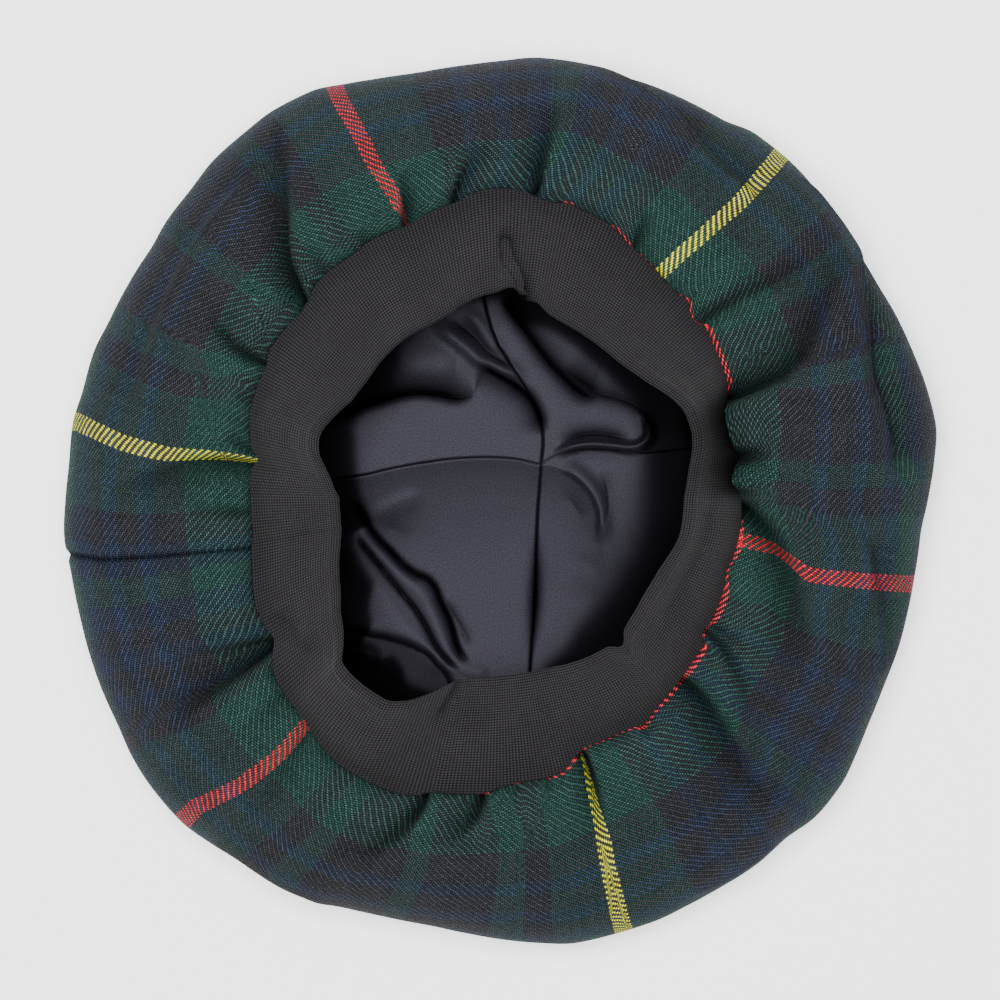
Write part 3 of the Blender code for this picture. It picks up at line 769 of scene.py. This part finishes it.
def crown_points(cells):
    """Places of the crown's grid in mm: a square grid drawn out to the round."""
    a, b = np.meshgrid(np.linspace(-1, 1, cells + 1), np.linspace(-1, 1, cells + 1))
    x, y = a * np.sqrt(1 - b * b / 2), b * np.sqrt(1 - a * a / 2)
    azimuth = np.degrees(np.arctan2(y, x))
    edge = closed_curve(RIM, azimuth) - ROLL_UNDER - GAP
    radius = edge * np.hypot(x, y)
    climb = np.clip((radius - CROWN_FLAT) / (edge - CROWN_FLAT), 0.0, 1.0)
    x, y = polar(azimuth, radius)
    return np.dstack((x, y, CROWN_EDGE_HEIGHT * climb**2))


def band_section(shape, length):
    """The band's closed section as (distance from its foot, distance outward from its middle):
    outer face, fold, inner face, foot."""
    section = []
    for share in np.linspace(0.0, 0.96, shape.band_rows):
        dip = shape.band_dip * falloff((1 - share) * length - 9.0, 3.5)
        section.append((length * share, BAND / 2 + 4 * shape.band_bow * share * (1 - share) - dip))
    for angle in np.radians(np.linspace(0, 195, FOLD_ROWS)):
        section.append((length + FOLD_RADIUS * math.sin(angle), FOLD_RADIUS * math.cos(angle)))
    for share in np.linspace(0.9, 0.0, shape.band_rows // 2):
        section.append((length * share, 4 * shape.band_bow * share * (1 - share) - BAND / 2))
    return [*section, section[0]]


def band_points(shape, columns):
    """Places of the band's grid in mm, each column a section, and their painted light: painted shade in
    the pinches and painted shadow under the overhanging lobes.
    """
    azimuth = np.linspace(-180.0, 180.0, columns + 1)[None, :]
    seam, fold = closed_curve(SEAM, azimuth), closed_curve(FOLD, azimuth)
    base_r, base_z = seam - BAND / 2 + shape.band_foot, SEAM_HEIGHT - SEAM_TUCK
    rise = BAND_RISE + RISE_PER_LEAN * (BAND_LEAN - (seam - fold))
    along_r, along_z = fold + FOLD_RADIUS - base_r, SEAM_HEIGHT + rise - FOLD_RADIUS - base_z
    length = np.hypot(along_r, along_z)
    along_r, along_z = along_r / length, along_z / length
    section = band_section(shape, length)
    radius = np.vstack([base_r + along_r * along + along_z * side for along, side in section])
    height = np.vstack([base_z + along_z * along - along_r * side for along, side in section])
    azimuth = azimuth + 0 * radius
    x, y = polar(azimuth, radius)
    dip = np.zeros(radius.shape)
    for depth, before, after, line in BAND_FURROWS:
        away, fade = beside_line(x, y, plan_line(line))
        dip += depth * fade * falloff(away, np.where(away > 0, before, after), 1.5)
    dip[shape.band_rows + 12 :] = 0.0
    dip[0] = 0.0
    radius = radius - dip * along_z
    height = height + dip * along_r
    # Painted shade in the pinches and the back join, deeper where the band dips more
    painted_light = 1 - 0.9 * np.clip(dip / 4.0, 0.0, 1.0) ** 1.5
    # Painted shadow of the overhanging lobes on the band
    for middle, half_width, _ in OVERHANGS:
        under = falloff(wrapped(azimuth - middle), 1.5 * half_width, 4)
        painted_light *= 1 - 0.93 * under * falloff(seam - radius, 10.0)
    x, y = polar(azimuth, radius)
    return np.dstack((x, y, height)), azimuth, painted_light


def stitch_places(shape, points, azimuth):
    """UV of the band in stitches: round the band, and in courses from its fold."""
    inward = np.abs(np.diff(np.hypot(points[..., 0], points[..., 1]), axis=0))
    slope = np.linalg.norm(np.diff(points, axis=0), axis=2)
    length = lengths_down(np.maximum(inward, 0.55 * slope))
    from_fold = (length[shape.band_rows + FOLD_ROWS // 2 - 1] - length) / COURSE
    return np.dstack((azimuth / 360.0 * shape.band_stitches, from_fold))


def lining_mm(places):
    """Places on the lining, from pixels of the photo to mm."""
    return (np.array(places, dtype=float) - 500.0) * (LINING_SCALE, -LINING_SCALE)


CROSSING = lining_mm(LINING_SEAMS["top"][0])


def seam_direction(name, distance):
    """Direction from the crossing to the seam's place at a distance."""
    x, y = (lining_mm(LINING_SEAMS[name][1:]) - CROSSING).T
    return np.interp(distance, np.hypot(x, y), np.degrees(np.unwrap(np.arctan2(y, x))))


def lining_reach(direction):
    """Distance from the crossing to the lining's outer loop, in a direction."""
    azimuth = np.linspace(-180.0, 180.0, 721)
    loop_x, loop_y = polar(azimuth, closed_curve(SEAM, azimuth) - BAND)
    loop_x, loop_y = loop_x - CROSSING[0], loop_y - CROSSING[1]
    directions = np.degrees(np.arctan2(loop_y, loop_x))
    order = np.argsort(directions)
    reach = np.hypot(loop_x, loop_y)[order]
    return np.interp(wrapped(direction), directions[order], reach, period=360)


def lining_line(line):
    """A line on the lining, from pixels of the photo to (x, y) in mm."""
    return smooth_line(lining_mm(line))


def lining_shape(x, y):
    """Height of the lining's panels and folds, and their painted light: painted shade in the low panel and
    in the valleys.
    """
    height = np.zeros(x.shape)
    painted_light = np.ones(x.shape)
    for highest, edges in LINING_PANELS:
        share = np.ones(x.shape)
        for width, power, edge in edges:
            beside = beside_edge if len(edge) > 2 else straight_edge
            share *= falloff(np.maximum(beside(x, y, lining_line(edge)), 0.0), width, power)
        height += highest * share
        # Painted shade in a low panel
        if highest < 0:
            painted_light *= 1 - 0.55 * share
    for highest, left, right, ends, line in LINING_FOLDS:
        away, fade = beside_line(x, y, lining_line(line), ends)
        width = np.where(away > 0, right, left)
        height += highest * falloff(away, width, 2.2 if highest > 0 else 1) * fade
        # Painted shade in the valleys
        if highest < 0:
            depth = min(0.92, -0.42 * highest)
            painted_light *= 1 - depth * fade * falloff(np.maximum(np.abs(away) - 0.45, 0.0), width / 1.5, 1)
    return height, painted_light


def lining_wall(x, y):
    """Share of the wall's height, from 0 on the floor to 1 at the band, how deep in the band's
    painted shade each place lies, and its painted light: painted shade under the band, beside the wall's
    foot, and at the foot as dark as a steep wall."""
    azimuth, radius = np.degrees(np.arctan2(y, x)), np.hypot(x, y)
    top, foot = closed_curve(SEAM, azimuth) - BAND, closed_curve(LINING_FOOT, azimuth)
    blur = LINING_ROUND + 2.4 * falloff(azimuth + 20.0, 40.0) + 1.4 * falloff(azimuth - 125.0, 25.0)
    past = np.exp(np.clip((radius - foot) / blur, -40.0, 40.0))
    out = blur * np.log1p(past)
    deep = np.minimum(1.0, (1 - falloff(out, SHADE_DEPTH, 1)) / (1 - falloff(top - foot, SHADE_DEPTH, 1)))
    # Painted shade: edge darkens the foot as steep cloth would be, and beside darkens the floor just short
    # of the foot
    edge = SHADE_EDGE * falloff(out, SHADE_DEPTH, 1) * past / (1 + past)
    beside = 0.11 * blur + 0.25 * falloff(azimuth + 88.0, 22.0)
    beside *= falloff(np.maximum(foot - radius, 0.0), 5.0, 1)
    painted_light = (1 - beside) * (1 - 0.95 * deep**0.5) / np.hypot(1.0, edge)
    climb = np.clip((radius - foot) / (top - foot), 0.0, 1.0) ** WALL_STEEP
    return climb, deep, painted_light


def gore_points(shape, first, last, columns, rows):
    """Places of a gore's grid in mm, from the crossing out to the band, and their painted light."""
    share = np.linspace(0.001, 1.0, rows + 1)[:, None]
    across = np.linspace(0.0, 1.0, columns + 1)[None, :]
    start, end = (seam_direction(name, share * MIDDLING_REACH) for name in (first, last))
    for _ in range(4):
        start = seam_direction(first, lining_reach(start) * share)
        end = seam_direction(last, lining_reach(end) * share)
    turn = (end - start) % 360.0
    clear = np.degrees(0.03 / np.maximum(share * MIDDLING_REACH, 0.3))
    direction = start + clear + (turn - 2 * clear) * across
    away = lining_reach(direction) * share
    dx, dy = polar(direction, away)
    x, y = CROSSING[0] + dx, CROSSING[1] + dy
    wall, deep, wall_painted_light = lining_wall(x, y)
    floor, painted_light = lining_shape(x, y)
    side = np.minimum(across, 1 - across) * np.radians(turn) * away
    shows = np.where(across < 0.5, SEAM_SHOWS[first], SEAM_SHOWS[last]) * (1 - deep)
    floor = shape.lining_height + floor - shape.seam_groove * shows * falloff(side, 0.4)
    # Painted shade under the band and in the seams' grooves
    painted_light *= wall_painted_light * (1 - 0.85 * shows * falloff(side, 0.32))
    height = floor + (LINING_TOP - floor) * wall
    return np.dstack((x, y, np.maximum(height, LINING_LOWEST))), painted_light


def sheet_of_points(name, points, uv, painted_light):
    """A grid laid on a table of places in mm, closed where edges meet. It carries its UV map
    and its painted light, the share of colour that painted shade leaves, from 0 in the depth of a crease
    to 1."""
    rows, columns = points.shape[0] - 1, points.shape[1] - 1
    mesh = bpy.data.meshes.new(name)
    grid = bmesh.new()
    bmesh.ops.create_grid(grid, x_segments=columns, y_segments=rows, size=0.5)
    layer = grid.loops.layers.uv.new("Cloth")
    # This layer holds each vertex's painted light, the share of colour left by painted shade
    depth = grid.verts.layers.float.new("PaintedLight")
    places = {}
    for vertex in grid.verts:
        places[vertex] = round((vertex.co.y + 0.5) * rows), round((vertex.co.x + 0.5) * columns)
    for face in grid.faces:
        for loop in face.loops:
            loop[layer].uv = uv[places[loop.vert]]
    for vertex, place in places.items():
        vertex.co = points[place] * MM
        vertex[depth] = painted_light[place]
    bmesh.ops.remove_doubles(grid, verts=grid.verts, dist=0.001 * MM)
    grid.to_mesh(mesh)
    grid.free()
    mesh.shade_smooth()
    piece = bpy.data.objects.new(name, mesh)
    bpy.context.collection.objects.link(piece)
    return piece


def thick_sheet(name, points, uv, painted_light, thickness):
    """A sheet of points that faces up, with the cloth's thickness below it."""
    piece = sheet_of_points(name, points, uv, painted_light)
    piece.data.flip_normals()
    solidify = piece.modifiers.new("Thickness", "SOLIDIFY")
    solidify.thickness = thickness * MM
    solidify.offset = -1.0
    return piece


def settle(piece, node, material):
    """The piece stands for a node of the frame and takes its material. Its cut is looked up in CUTS but
    not used.
    """
    width, length, area, held, rests_on = CUTS[node]
    area = area and area * MM * MM
    piece.data.materials.append(material)
    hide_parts(node)
    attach(piece, "root")


def linear(code):
    """The linear colour of an sRGB hex value."""
    channels = (int(code[index : index + 2], 16) / 255 for index in (1, 3, 5))
    return (*((c / 12.92 if c <= 0.04045 else ((c + 0.055) / 1.055) ** 2.4) for c in channels), 1.0)


def plug(node, inputs):
    """Gives a node's inputs their values. A value is a number, a colour, a socket, or a node,
    which stands for its first result."""
    for key, value in inputs.items():
        if isinstance(value, bpy.types.Node):
            value = next(socket for socket in value.outputs if socket.enabled)
        if isinstance(value, bpy.types.NodeSocket):
            node.id_data.links.new(value, node.inputs[key])
        else:
            node.inputs[key].default_value = value


def add(tree, kind, *inputs, **settings):
    """Adds a node of a kind, such as "Bump" or "Math ADD". Inputs are given in order or by their
    capitalised names, and other settings by their names."""
    kind, _, operation = kind.partition(" ")
    made = tree.nodes.new("ShaderNode" + kind)
    if operation:
        made.operation = operation
    sockets = dict(enumerate(inputs))
    for key, value in settings.items():
        if key[0].isupper():
            sockets[key] = value
        else:
            setattr(made, key, value)
    plug(made, sockets)
    return made


def dimmed(tree, light, *shares):
    """A light times some shares. Each is a value, what it is multiplied by, and what is added."""
    for value, scale, least in shares:
        share = add(tree, "Math MULTIPLY_ADD", value, scale, least)
        light = add(tree, "Math MULTIPLY", light, share)
    return light


def hump(tree, share):
    """A smooth rise and fall over a share from 0 to 1."""
    return add(tree, "Math SINE", add(tree, "Math MULTIPLY", share, math.pi))


def dyed_fibres(tree, cloth, scale, colour, light):
    """The yarn's colour times its painted light, varied from fibre to fibre."""
    fibres = add(tree, "TexNoise", Vector=cloth, Scale=scale, Detail=2.0).outputs["Color"]
    varied = add(tree, "VectorMath MULTIPLY_ADD", fibres, (0.9,) * 3, (0.55,) * 3)
    dyed = add(tree, "VectorMath MULTIPLY", varied, colour)
    return add(tree, "VectorMath SCALE", dyed, Scale=light)


def new_material(name):
    made = bpy.data.materials.new(name)
    made.use_nodes = True
    return made, made.node_tree, made.node_tree.nodes["Principled BSDF"]


def new_cloth(name):
    """A material that knows the cloth's own map and the painted light at each place: the share of colour
    that painted shade leaves.
    """
    made, tree, shader = new_material(name)
    painted_light = add(tree, "Attribute", attribute_name="PaintedLight").outputs["Fac"]
    return made, tree, shader, add(tree, "UVMap", uv_map="Cloth"), painted_light


def stripes(tree, threads, colours):
    """Colour of the yarn at a place along the sett, given in threads."""
    total = sum(width for _, width in SETT)
    ramp = add(tree, "ValToRGB", add(tree, "Math FRACT", add(tree, "Math DIVIDE", threads, total)))
    ramp.color_ramp.interpolation = "CONSTANT"
    elements = ramp.color_ramp.elements
    elements.remove(elements[1])
    done = 0.0
    for index, (name, width) in enumerate(SETT):
        element = elements[0] if index == 0 else elements.new(done / total)
        element.color = linear(getattr(colours, name))
        done += width
    return ramp


def twill_light(tree, cloth, height, painted_light, yarns):
    """Painted light on the twill: painted shade between the floats and wherever the painted-light map is
    dark. Yarns and their crossings differ a little in tone, as do places of the cloth, and the warp is
    darker than the weft."""
    own, spot, warp_on_top = yarns
    wear = add(tree, "TexNoise", Vector=cloth, Scale=0.05, Detail=3.0)
    # Painted shade between the floats, from their height
    light = add(tree, "Math MULTIPLY_ADD", height, 1.3, 0.14)
    light = dimmed(tree, light, (painted_light, 1, 0), (own, 0.3, 0.85), (spot, 0.5, 0.75))
    return dimmed(tree, light, (wear, 0.4, 0.8), (warp_on_top, -0.42, 1.14))


def tartan_wool(name, colours):
    """Worsted wool in a 2/2 twill, dyed in the yarn. Each yarn floats over two others, so
    each crossing of two colours is hatched with slanted lines."""
    made, tree, shader, cloth, painted_light = new_cloth(name)
    waver = add(tree, "TexNoise", Vector=cloth, Scale=0.22, Detail=2.0).outputs["Color"]
    uneven = add(tree, "VectorMath MULTIPLY_ADD", waver, (0.9, 0.9, 0), cloth)
    places = add(tree, "SeparateXYZ", uneven).outputs
    warp_at = add(tree, "Math DIVIDE", places["X"], WARP_PITCH)
    weft_at = add(tree, "Math DIVIDE", places["Y"], WEFT_PITCH)
    warp_yarn, weft_yarn = (add(tree, "Math FLOOR", place) for place in (warp_at, weft_at))
    warp_way, weft_way = (add(tree, "Math FRACT", place) for place in (warp_at, weft_at))
    # Each yarn takes the sett's colour at its middle. The weft's sett runs inward from the red.
    warp_threads, weft_threads = WARP_PITCH / THREAD, WEFT_PITCH / THREAD
    red_edge = sum(width for _, width in SETT[: SETT.index(RED_LINE)])
    warp_place = add(tree, "Math MULTIPLY_ADD", warp_yarn, warp_threads, warp_threads / 2)
    weft_place = add(tree, "Math MULTIPLY_ADD", weft_yarn, -weft_threads, red_edge - weft_threads / 2)
    warp, weft = (stripes(tree, place, colours) for place in (warp_place, weft_place))
    # The warp lies on top for two yarns of four, one yarn further on at each weft
    cycle = add(tree, "Math FLOORED_MODULO", add(tree, "Math SUBTRACT", warp_yarn, weft_yarn), TWILL_CYCLE)
    warp_on_top = add(tree, "Math LESS_THAN", cycle, 1.5)
    warp_start = add(tree, "Math MULTIPLY_ADD", cycle, -0.5, 0.5)
    weft_start = add(tree, "Math MULTIPLY_ADD", cycle, 0.5, -1.0)
    warp_float = add(tree, "Math MULTIPLY_ADD", weft_way, 0.5, warp_start)
    weft_float = add(tree, "Math MULTIPLY_ADD", warp_way, 0.5, weft_start)
    choices = (
        ("RGBA", weft, warp),
        ("RGBA", warp, weft),
        ("FLOAT", weft_way, warp_way),
        ("FLOAT", weft_float, warp_float),
        ("FLOAT", weft_yarn, warp_yarn),
    )
    above, below, across, lengthways, yarn = (
        add(tree, "Mix", data_type=kind, Factor=warp_on_top, A=under_weft, B=under_warp)
        for kind, under_weft, under_warp in choices
    )
    height = add(tree, "Math MULTIPLY", hump(tree, across), hump(tree, lengthways))
    hairs = add(tree, "VectorMath MINIMUM", below, (FUZZ_LIGHT,) * 3)
    hairy = add(tree, "VectorMath MULTIPLY_ADD", hairs, (FUZZ,) * 3, above)
    own = add(tree, "TexWhiteNoise", Vector=add(tree, "CombineXYZ", yarn, warp_on_top))
    spot = add(tree, "TexWhiteNoise", Vector=add(tree, "CombineXYZ", warp_yarn, weft_yarn))
    light = twill_light(tree, cloth, height, painted_light, (own, spot, warp_on_top))
    shaded = dyed_fibres(tree, cloth, 2.4, hairy, light)
    # A painted highlight on the tops of the floats
    painted_highlight = add(tree, "Math MULTIPLY", add(tree, "Math MULTIPLY", height, light), 0.017)
    # Gloss and sheen fade where the painted shade lies
    plug(shader, {
        "Base Color": add(tree, "VectorMath ADD", shaded, painted_highlight),
        "Normal": add(tree, "Bump", Height=height, Strength=0.5, Distance=0.25 * MM),
        "Roughness": 0.85,
        "Specular IOR Level": add(tree, "Math MULTIPLY", painted_light, 0.06),
        "Sheen Weight": add(tree, "Math MULTIPLY", painted_light, 0.02),
        "Sheen Roughness": 0.4,
    })
    return made


def knit_band(name, colours):
    """A fine machine knit of charcoal wool. Its stitches stand in columns across the band
    and in courses along it, and its yarn holds a few lighter fibres."""
    made, tree, shader, knit, painted_light = new_cloth(name)
    places = add(tree, "SeparateXYZ", knit).outputs
    column, course = (hump(tree, add(tree, "Math FRACT", places[axis])) for axis in "XY")
    stitch = add(tree, "Math MULTIPLY", column, course)
    soft = add(tree, "TexNoise", Vector=knit, Scale=0.05, Detail=2.0)
    # Painted shade between the stitches and courses, and in the painted-light map; the soft noise is a
    # random tone
    light = add(tree, "Math MULTIPLY_ADD", stitch, 1.7, 0.12)
    light = add(tree, "Math MULTIPLY_ADD", course, 0.2, light)
    light = dimmed(tree, light, (painted_light, 1, 0), (soft, 0.4, 0.8))
    # Gloss and sheen fade where the painted shade lies
    plug(shader, {
        "Base Color": dyed_fibres(tree, knit, 1.3, linear(colours.band)[:3], light),
        "Normal": add(tree, "Bump", Height=stitch, Strength=0.6, Distance=0.3 * MM),
        "Roughness": 0.9,
        "Specular IOR Level": add(tree, "Math MULTIPLY", painted_light, 0.08),
        "Sheen Weight": add(tree, "Math MULTIPLY", painted_light, 0.04),
        "Sheen Roughness": 0.5,
    })
    return made


def satin_lining(name, colours):
    """Matt satin of fine black filament. It is nearly black where it slopes, and its floats
    give a broad grey sheen where it lies flat under the light. Painted shade darkens its colour and gloss
    in its creases, along its seams and under the band."""
    made, tree, shader, cloth, painted_light = new_cloth(name)
    grain = add(tree, "TexNoise", Vector=cloth, Scale=2.3, Detail=1.0, Roughness=0.6)
    # Random grain times painted light; gloss too fades in the painted shade
    light = dimmed(tree, add(tree, "Math MULTIPLY_ADD", grain, 2.0, 0.2), (painted_light, 1, 0))
    gloss = add(tree, "MapRange", grain, 0.3, 0.7, 0.18, 0.36)
    plug(shader, {
        "Base Color": add(tree, "VectorMath SCALE", linear(colours.lining)[:3], Scale=light),
        "Roughness": 0.6,
        "Specular IOR Level": add(tree, "Math MULTIPLY", gloss, painted_light),
        "Specular Tint": linear("#e9e6ff"),
    })
    return made


def material_once(name, make, colours):
    return bpy.data.materials.get(name) or make(name, colours)


def millimetres(name, description, default):
    return FloatProperty(name=name, description=description + ", mm", default=default)


def hex_colour(name, description, default):
    return StringProperty(name=name, description=description + ", sRGB hex", default=default)


class HatShape(PropertyGroup):
    lobe_height: millimetres("Lobe height", "Swell between gathers", 6.5)
    lobe_onset: millimetres("Lobe onset", "Width of a lobe's inner flank", 6.0)
    lobe_reach: millimetres("Lobe reach", "Distance over which a lobe fades", 30.0)
    valley_onset: millimetres("Valley onset", "Where a gather reaches its depth", 2.5)
    valley_depth: FloatProperty(
        name="Valley depth", description="Scale of the gathers' depths", default=1.25
    )
    pucker_height: millimetres("Pucker height", "Small puckers at the band", 0.22)
    band_foot: millimetres("Band foot", "How far the band reaches under the ring", 0.9)
    band_bow: millimetres("Band bow", "How far the band's middle bows out", 1.5)
    band_dip: millimetres("Band dip", "Dip of the band outside its fold", 0.5)
    band_rows: IntProperty(name="Band rows", description="Rows of the band's outer face", default=26)
    band_stitches: IntProperty(name="Band stitches", description="Stitches round the band", default=500)
    lining_height: millimetres("Lining height", "The lining's level on the crown", 9.5)
    seam_groove: millimetres("Lining seam", "Depth of the lining's seams", 0.6)


class HatColours(PropertyGroup):
    green: hex_colour("Green", "Green yarn", "#1d3c36")
    black: hex_colour("Black", "Black yarn", "#25262b")
    blue: hex_colour("Blue", "Blue yarn", "#20293f")
    red: hex_colour("Red", "Red yarn", "#e3313a")
    yellow: hex_colour("Yellow", "Yellow yarn", "#fffc38")
    band: hex_colour("Band", "Knitted band", "#29272a")
    lining: hex_colour("Lining", "Lining", "#17161c")


class HAT_OT_tartan_ring(Operator):
    """Build the gathered tartan ring"""

    bl_idname = "hat.tartan_ring"
    bl_label = "Tartan ring"

    def execute(self, context):
        scene = context.scene
        points, azimuth, radius, painted_light = ring_points(scene.hat_shape, *RING_GRID)
        cloth = np.dstack((cloth_along(azimuth, radius), cloth_outward(points, azimuth, radius)))
        piece = thick_sheet("gathered_tartan_ring", points, cloth, painted_light, CLOTH)
        wool = material_once("worsted_wool_twill_tartan", tartan_wool, scene.hat_colours)
        settle(piece, "tartan_ring", wool)
        return {"FINISHED"}


class HAT_OT_crown(Operator):
    """Build the crown that the hat lies on"""

    bl_idname = "hat.crown"
    bl_label = "Crown"

    def execute(self, context):
        points = crown_points(CROWN_CELLS)
        cloth = points[:, :, :2] + CROWN_SETT_START
        piece = thick_sheet("tartan_crown", points, cloth, np.ones(points.shape[:2]), CLOTH)
        wool = material_once("worsted_wool_twill_tartan", tartan_wool, context.scene.hat_colours)
        settle(piece, "crown", wool)
        return {"FINISHED"}


class HAT_OT_headband(Operator):
    """Build the knitted headband with its folded edge"""

    bl_idname = "hat.headband"
    bl_label = "Headband"

    def execute(self, context):
        scene = context.scene
        points, azimuth, painted_light = band_points(scene.hat_shape, BAND_COLUMNS)
        stitches = stitch_places(scene.hat_shape, points, azimuth)
        piece = sheet_of_points("knitted_headband", points, stitches, painted_light)
        knit = material_once("fine_knit_charcoal_wool", knit_band, scene.hat_colours)
        settle(piece, "headband", knit)
        return {"FINISHED"}


class HAT_OT_lining(Operator):
    """Build the four gores of the lining"""

    bl_idname = "hat.lining"
    bl_label = "Lining"

    def execute(self, context):
        scene = context.scene
        satin = material_once("black_satin_lining", satin_lining, scene.hat_colours)
        for node, first, last in GORES:
            points, painted_light = gore_points(scene.hat_shape, first, last, *GORE_GRID)
            piece = thick_sheet("satin_" + node, points, points[:, :, :2], painted_light, LINING)
            settle(piece, node, satin)
        return {"FINISHED"}


class HAT_OT_stage(Operator):
    """Build the pale floor, the studio light and the camera above the hat"""

    bl_idname = "hat.stage"
    bl_label = "Stage"

    def execute(self, context):
        scene = context.scene
        bpy.ops.mesh.primitive_plane_add(size=FLOOR_SIZE, location=(0, 0, -FLOOR_GAP))
        floor = context.object
        floor.name = "pale_floor"
        paper, _, shader = new_material("white_paper_sweep")
        plug(shader, {
            "Base Color": linear("#fafafa"),
            "Roughness": 0.9,
            "Emission Color": linear("#ffffff"),
            "Emission Strength": 1.5,
        })
        floor.data.materials.append(paper)
        scene.world = bpy.data.worlds.new("studio")
        scene.world.use_nodes = True
        sky = scene.world.node_tree.nodes["Background"]
        plug(sky, {"Color": linear("#ffffff"), "Strength": 0.2})
        for name, place, size, power in SOFTBOXES:
            light = bpy.data.lights.new(name, "AREA")
            light.size = size
            light.energy = power
            lamp = bpy.data.objects.new(name, light)
            lamp.location = place
            lamp.rotation_mode = "QUATERNION"
            lamp.rotation_quaternion = lamp.location.to_track_quat("Z", "Y")
            context.collection.objects.link(lamp)
        camera = bpy.data.cameras.new("photo_camera")
        camera.lens = LENS
        camera.sensor_width = SENSOR
        camera.clip_end = 50.0
        scene.camera = bpy.data.objects.new("photo_camera", camera)
        scene.camera.location = (0.0, 0.0, PHOTO_LEVEL + PHOTO_WIDTH * LENS / SENSOR)
        context.collection.objects.link(scene.camera)
        return {"FINISHED"}


class HAT_PT_panel(Panel):
    """The hat's pieces and sizes in the sidebar"""

    bl_idname = "HAT_PT_panel"
    bl_label = "Tam o'shanter"
    bl_space_type = "VIEW_3D"
    bl_region_type = "UI"
    bl_category = "Hat"

    def draw(self, context):
        for operator in OPERATORS:
            self.layout.operator(operator.bl_idname)
        for group in (context.scene.hat_shape, context.scene.hat_colours):
            for name in group.__annotations__:
                self.layout.prop(group, name)


OPERATORS = (
    HAT_OT_tartan_ring,
    HAT_OT_crown,
    HAT_OT_headband,
    HAT_OT_lining,
    HAT_OT_stage,
)
CLASSES = (HatShape, HatColours, *OPERATORS, HAT_PT_panel)


def register():
    for cls in CLASSES:
        bpy.utils.register_class(cls)
    bpy.types.Scene.hat_shape = PointerProperty(type=HatShape)
    bpy.types.Scene.hat_colours = PointerProperty(type=HatColours)


def unregister():
    del bpy.types.Scene.hat_colours
    del bpy.types.Scene.hat_shape
    for cls in reversed(CLASSES):
        bpy.utils.unregister_class(cls)


def main():
    register()
    bpy.ops.hat.tartan_ring()
    bpy.ops.hat.crown()
    bpy.ops.hat.headband()
    bpy.ops.hat.lining()
    bpy.ops.hat.stage()


if __name__ == "__main__":
    main()
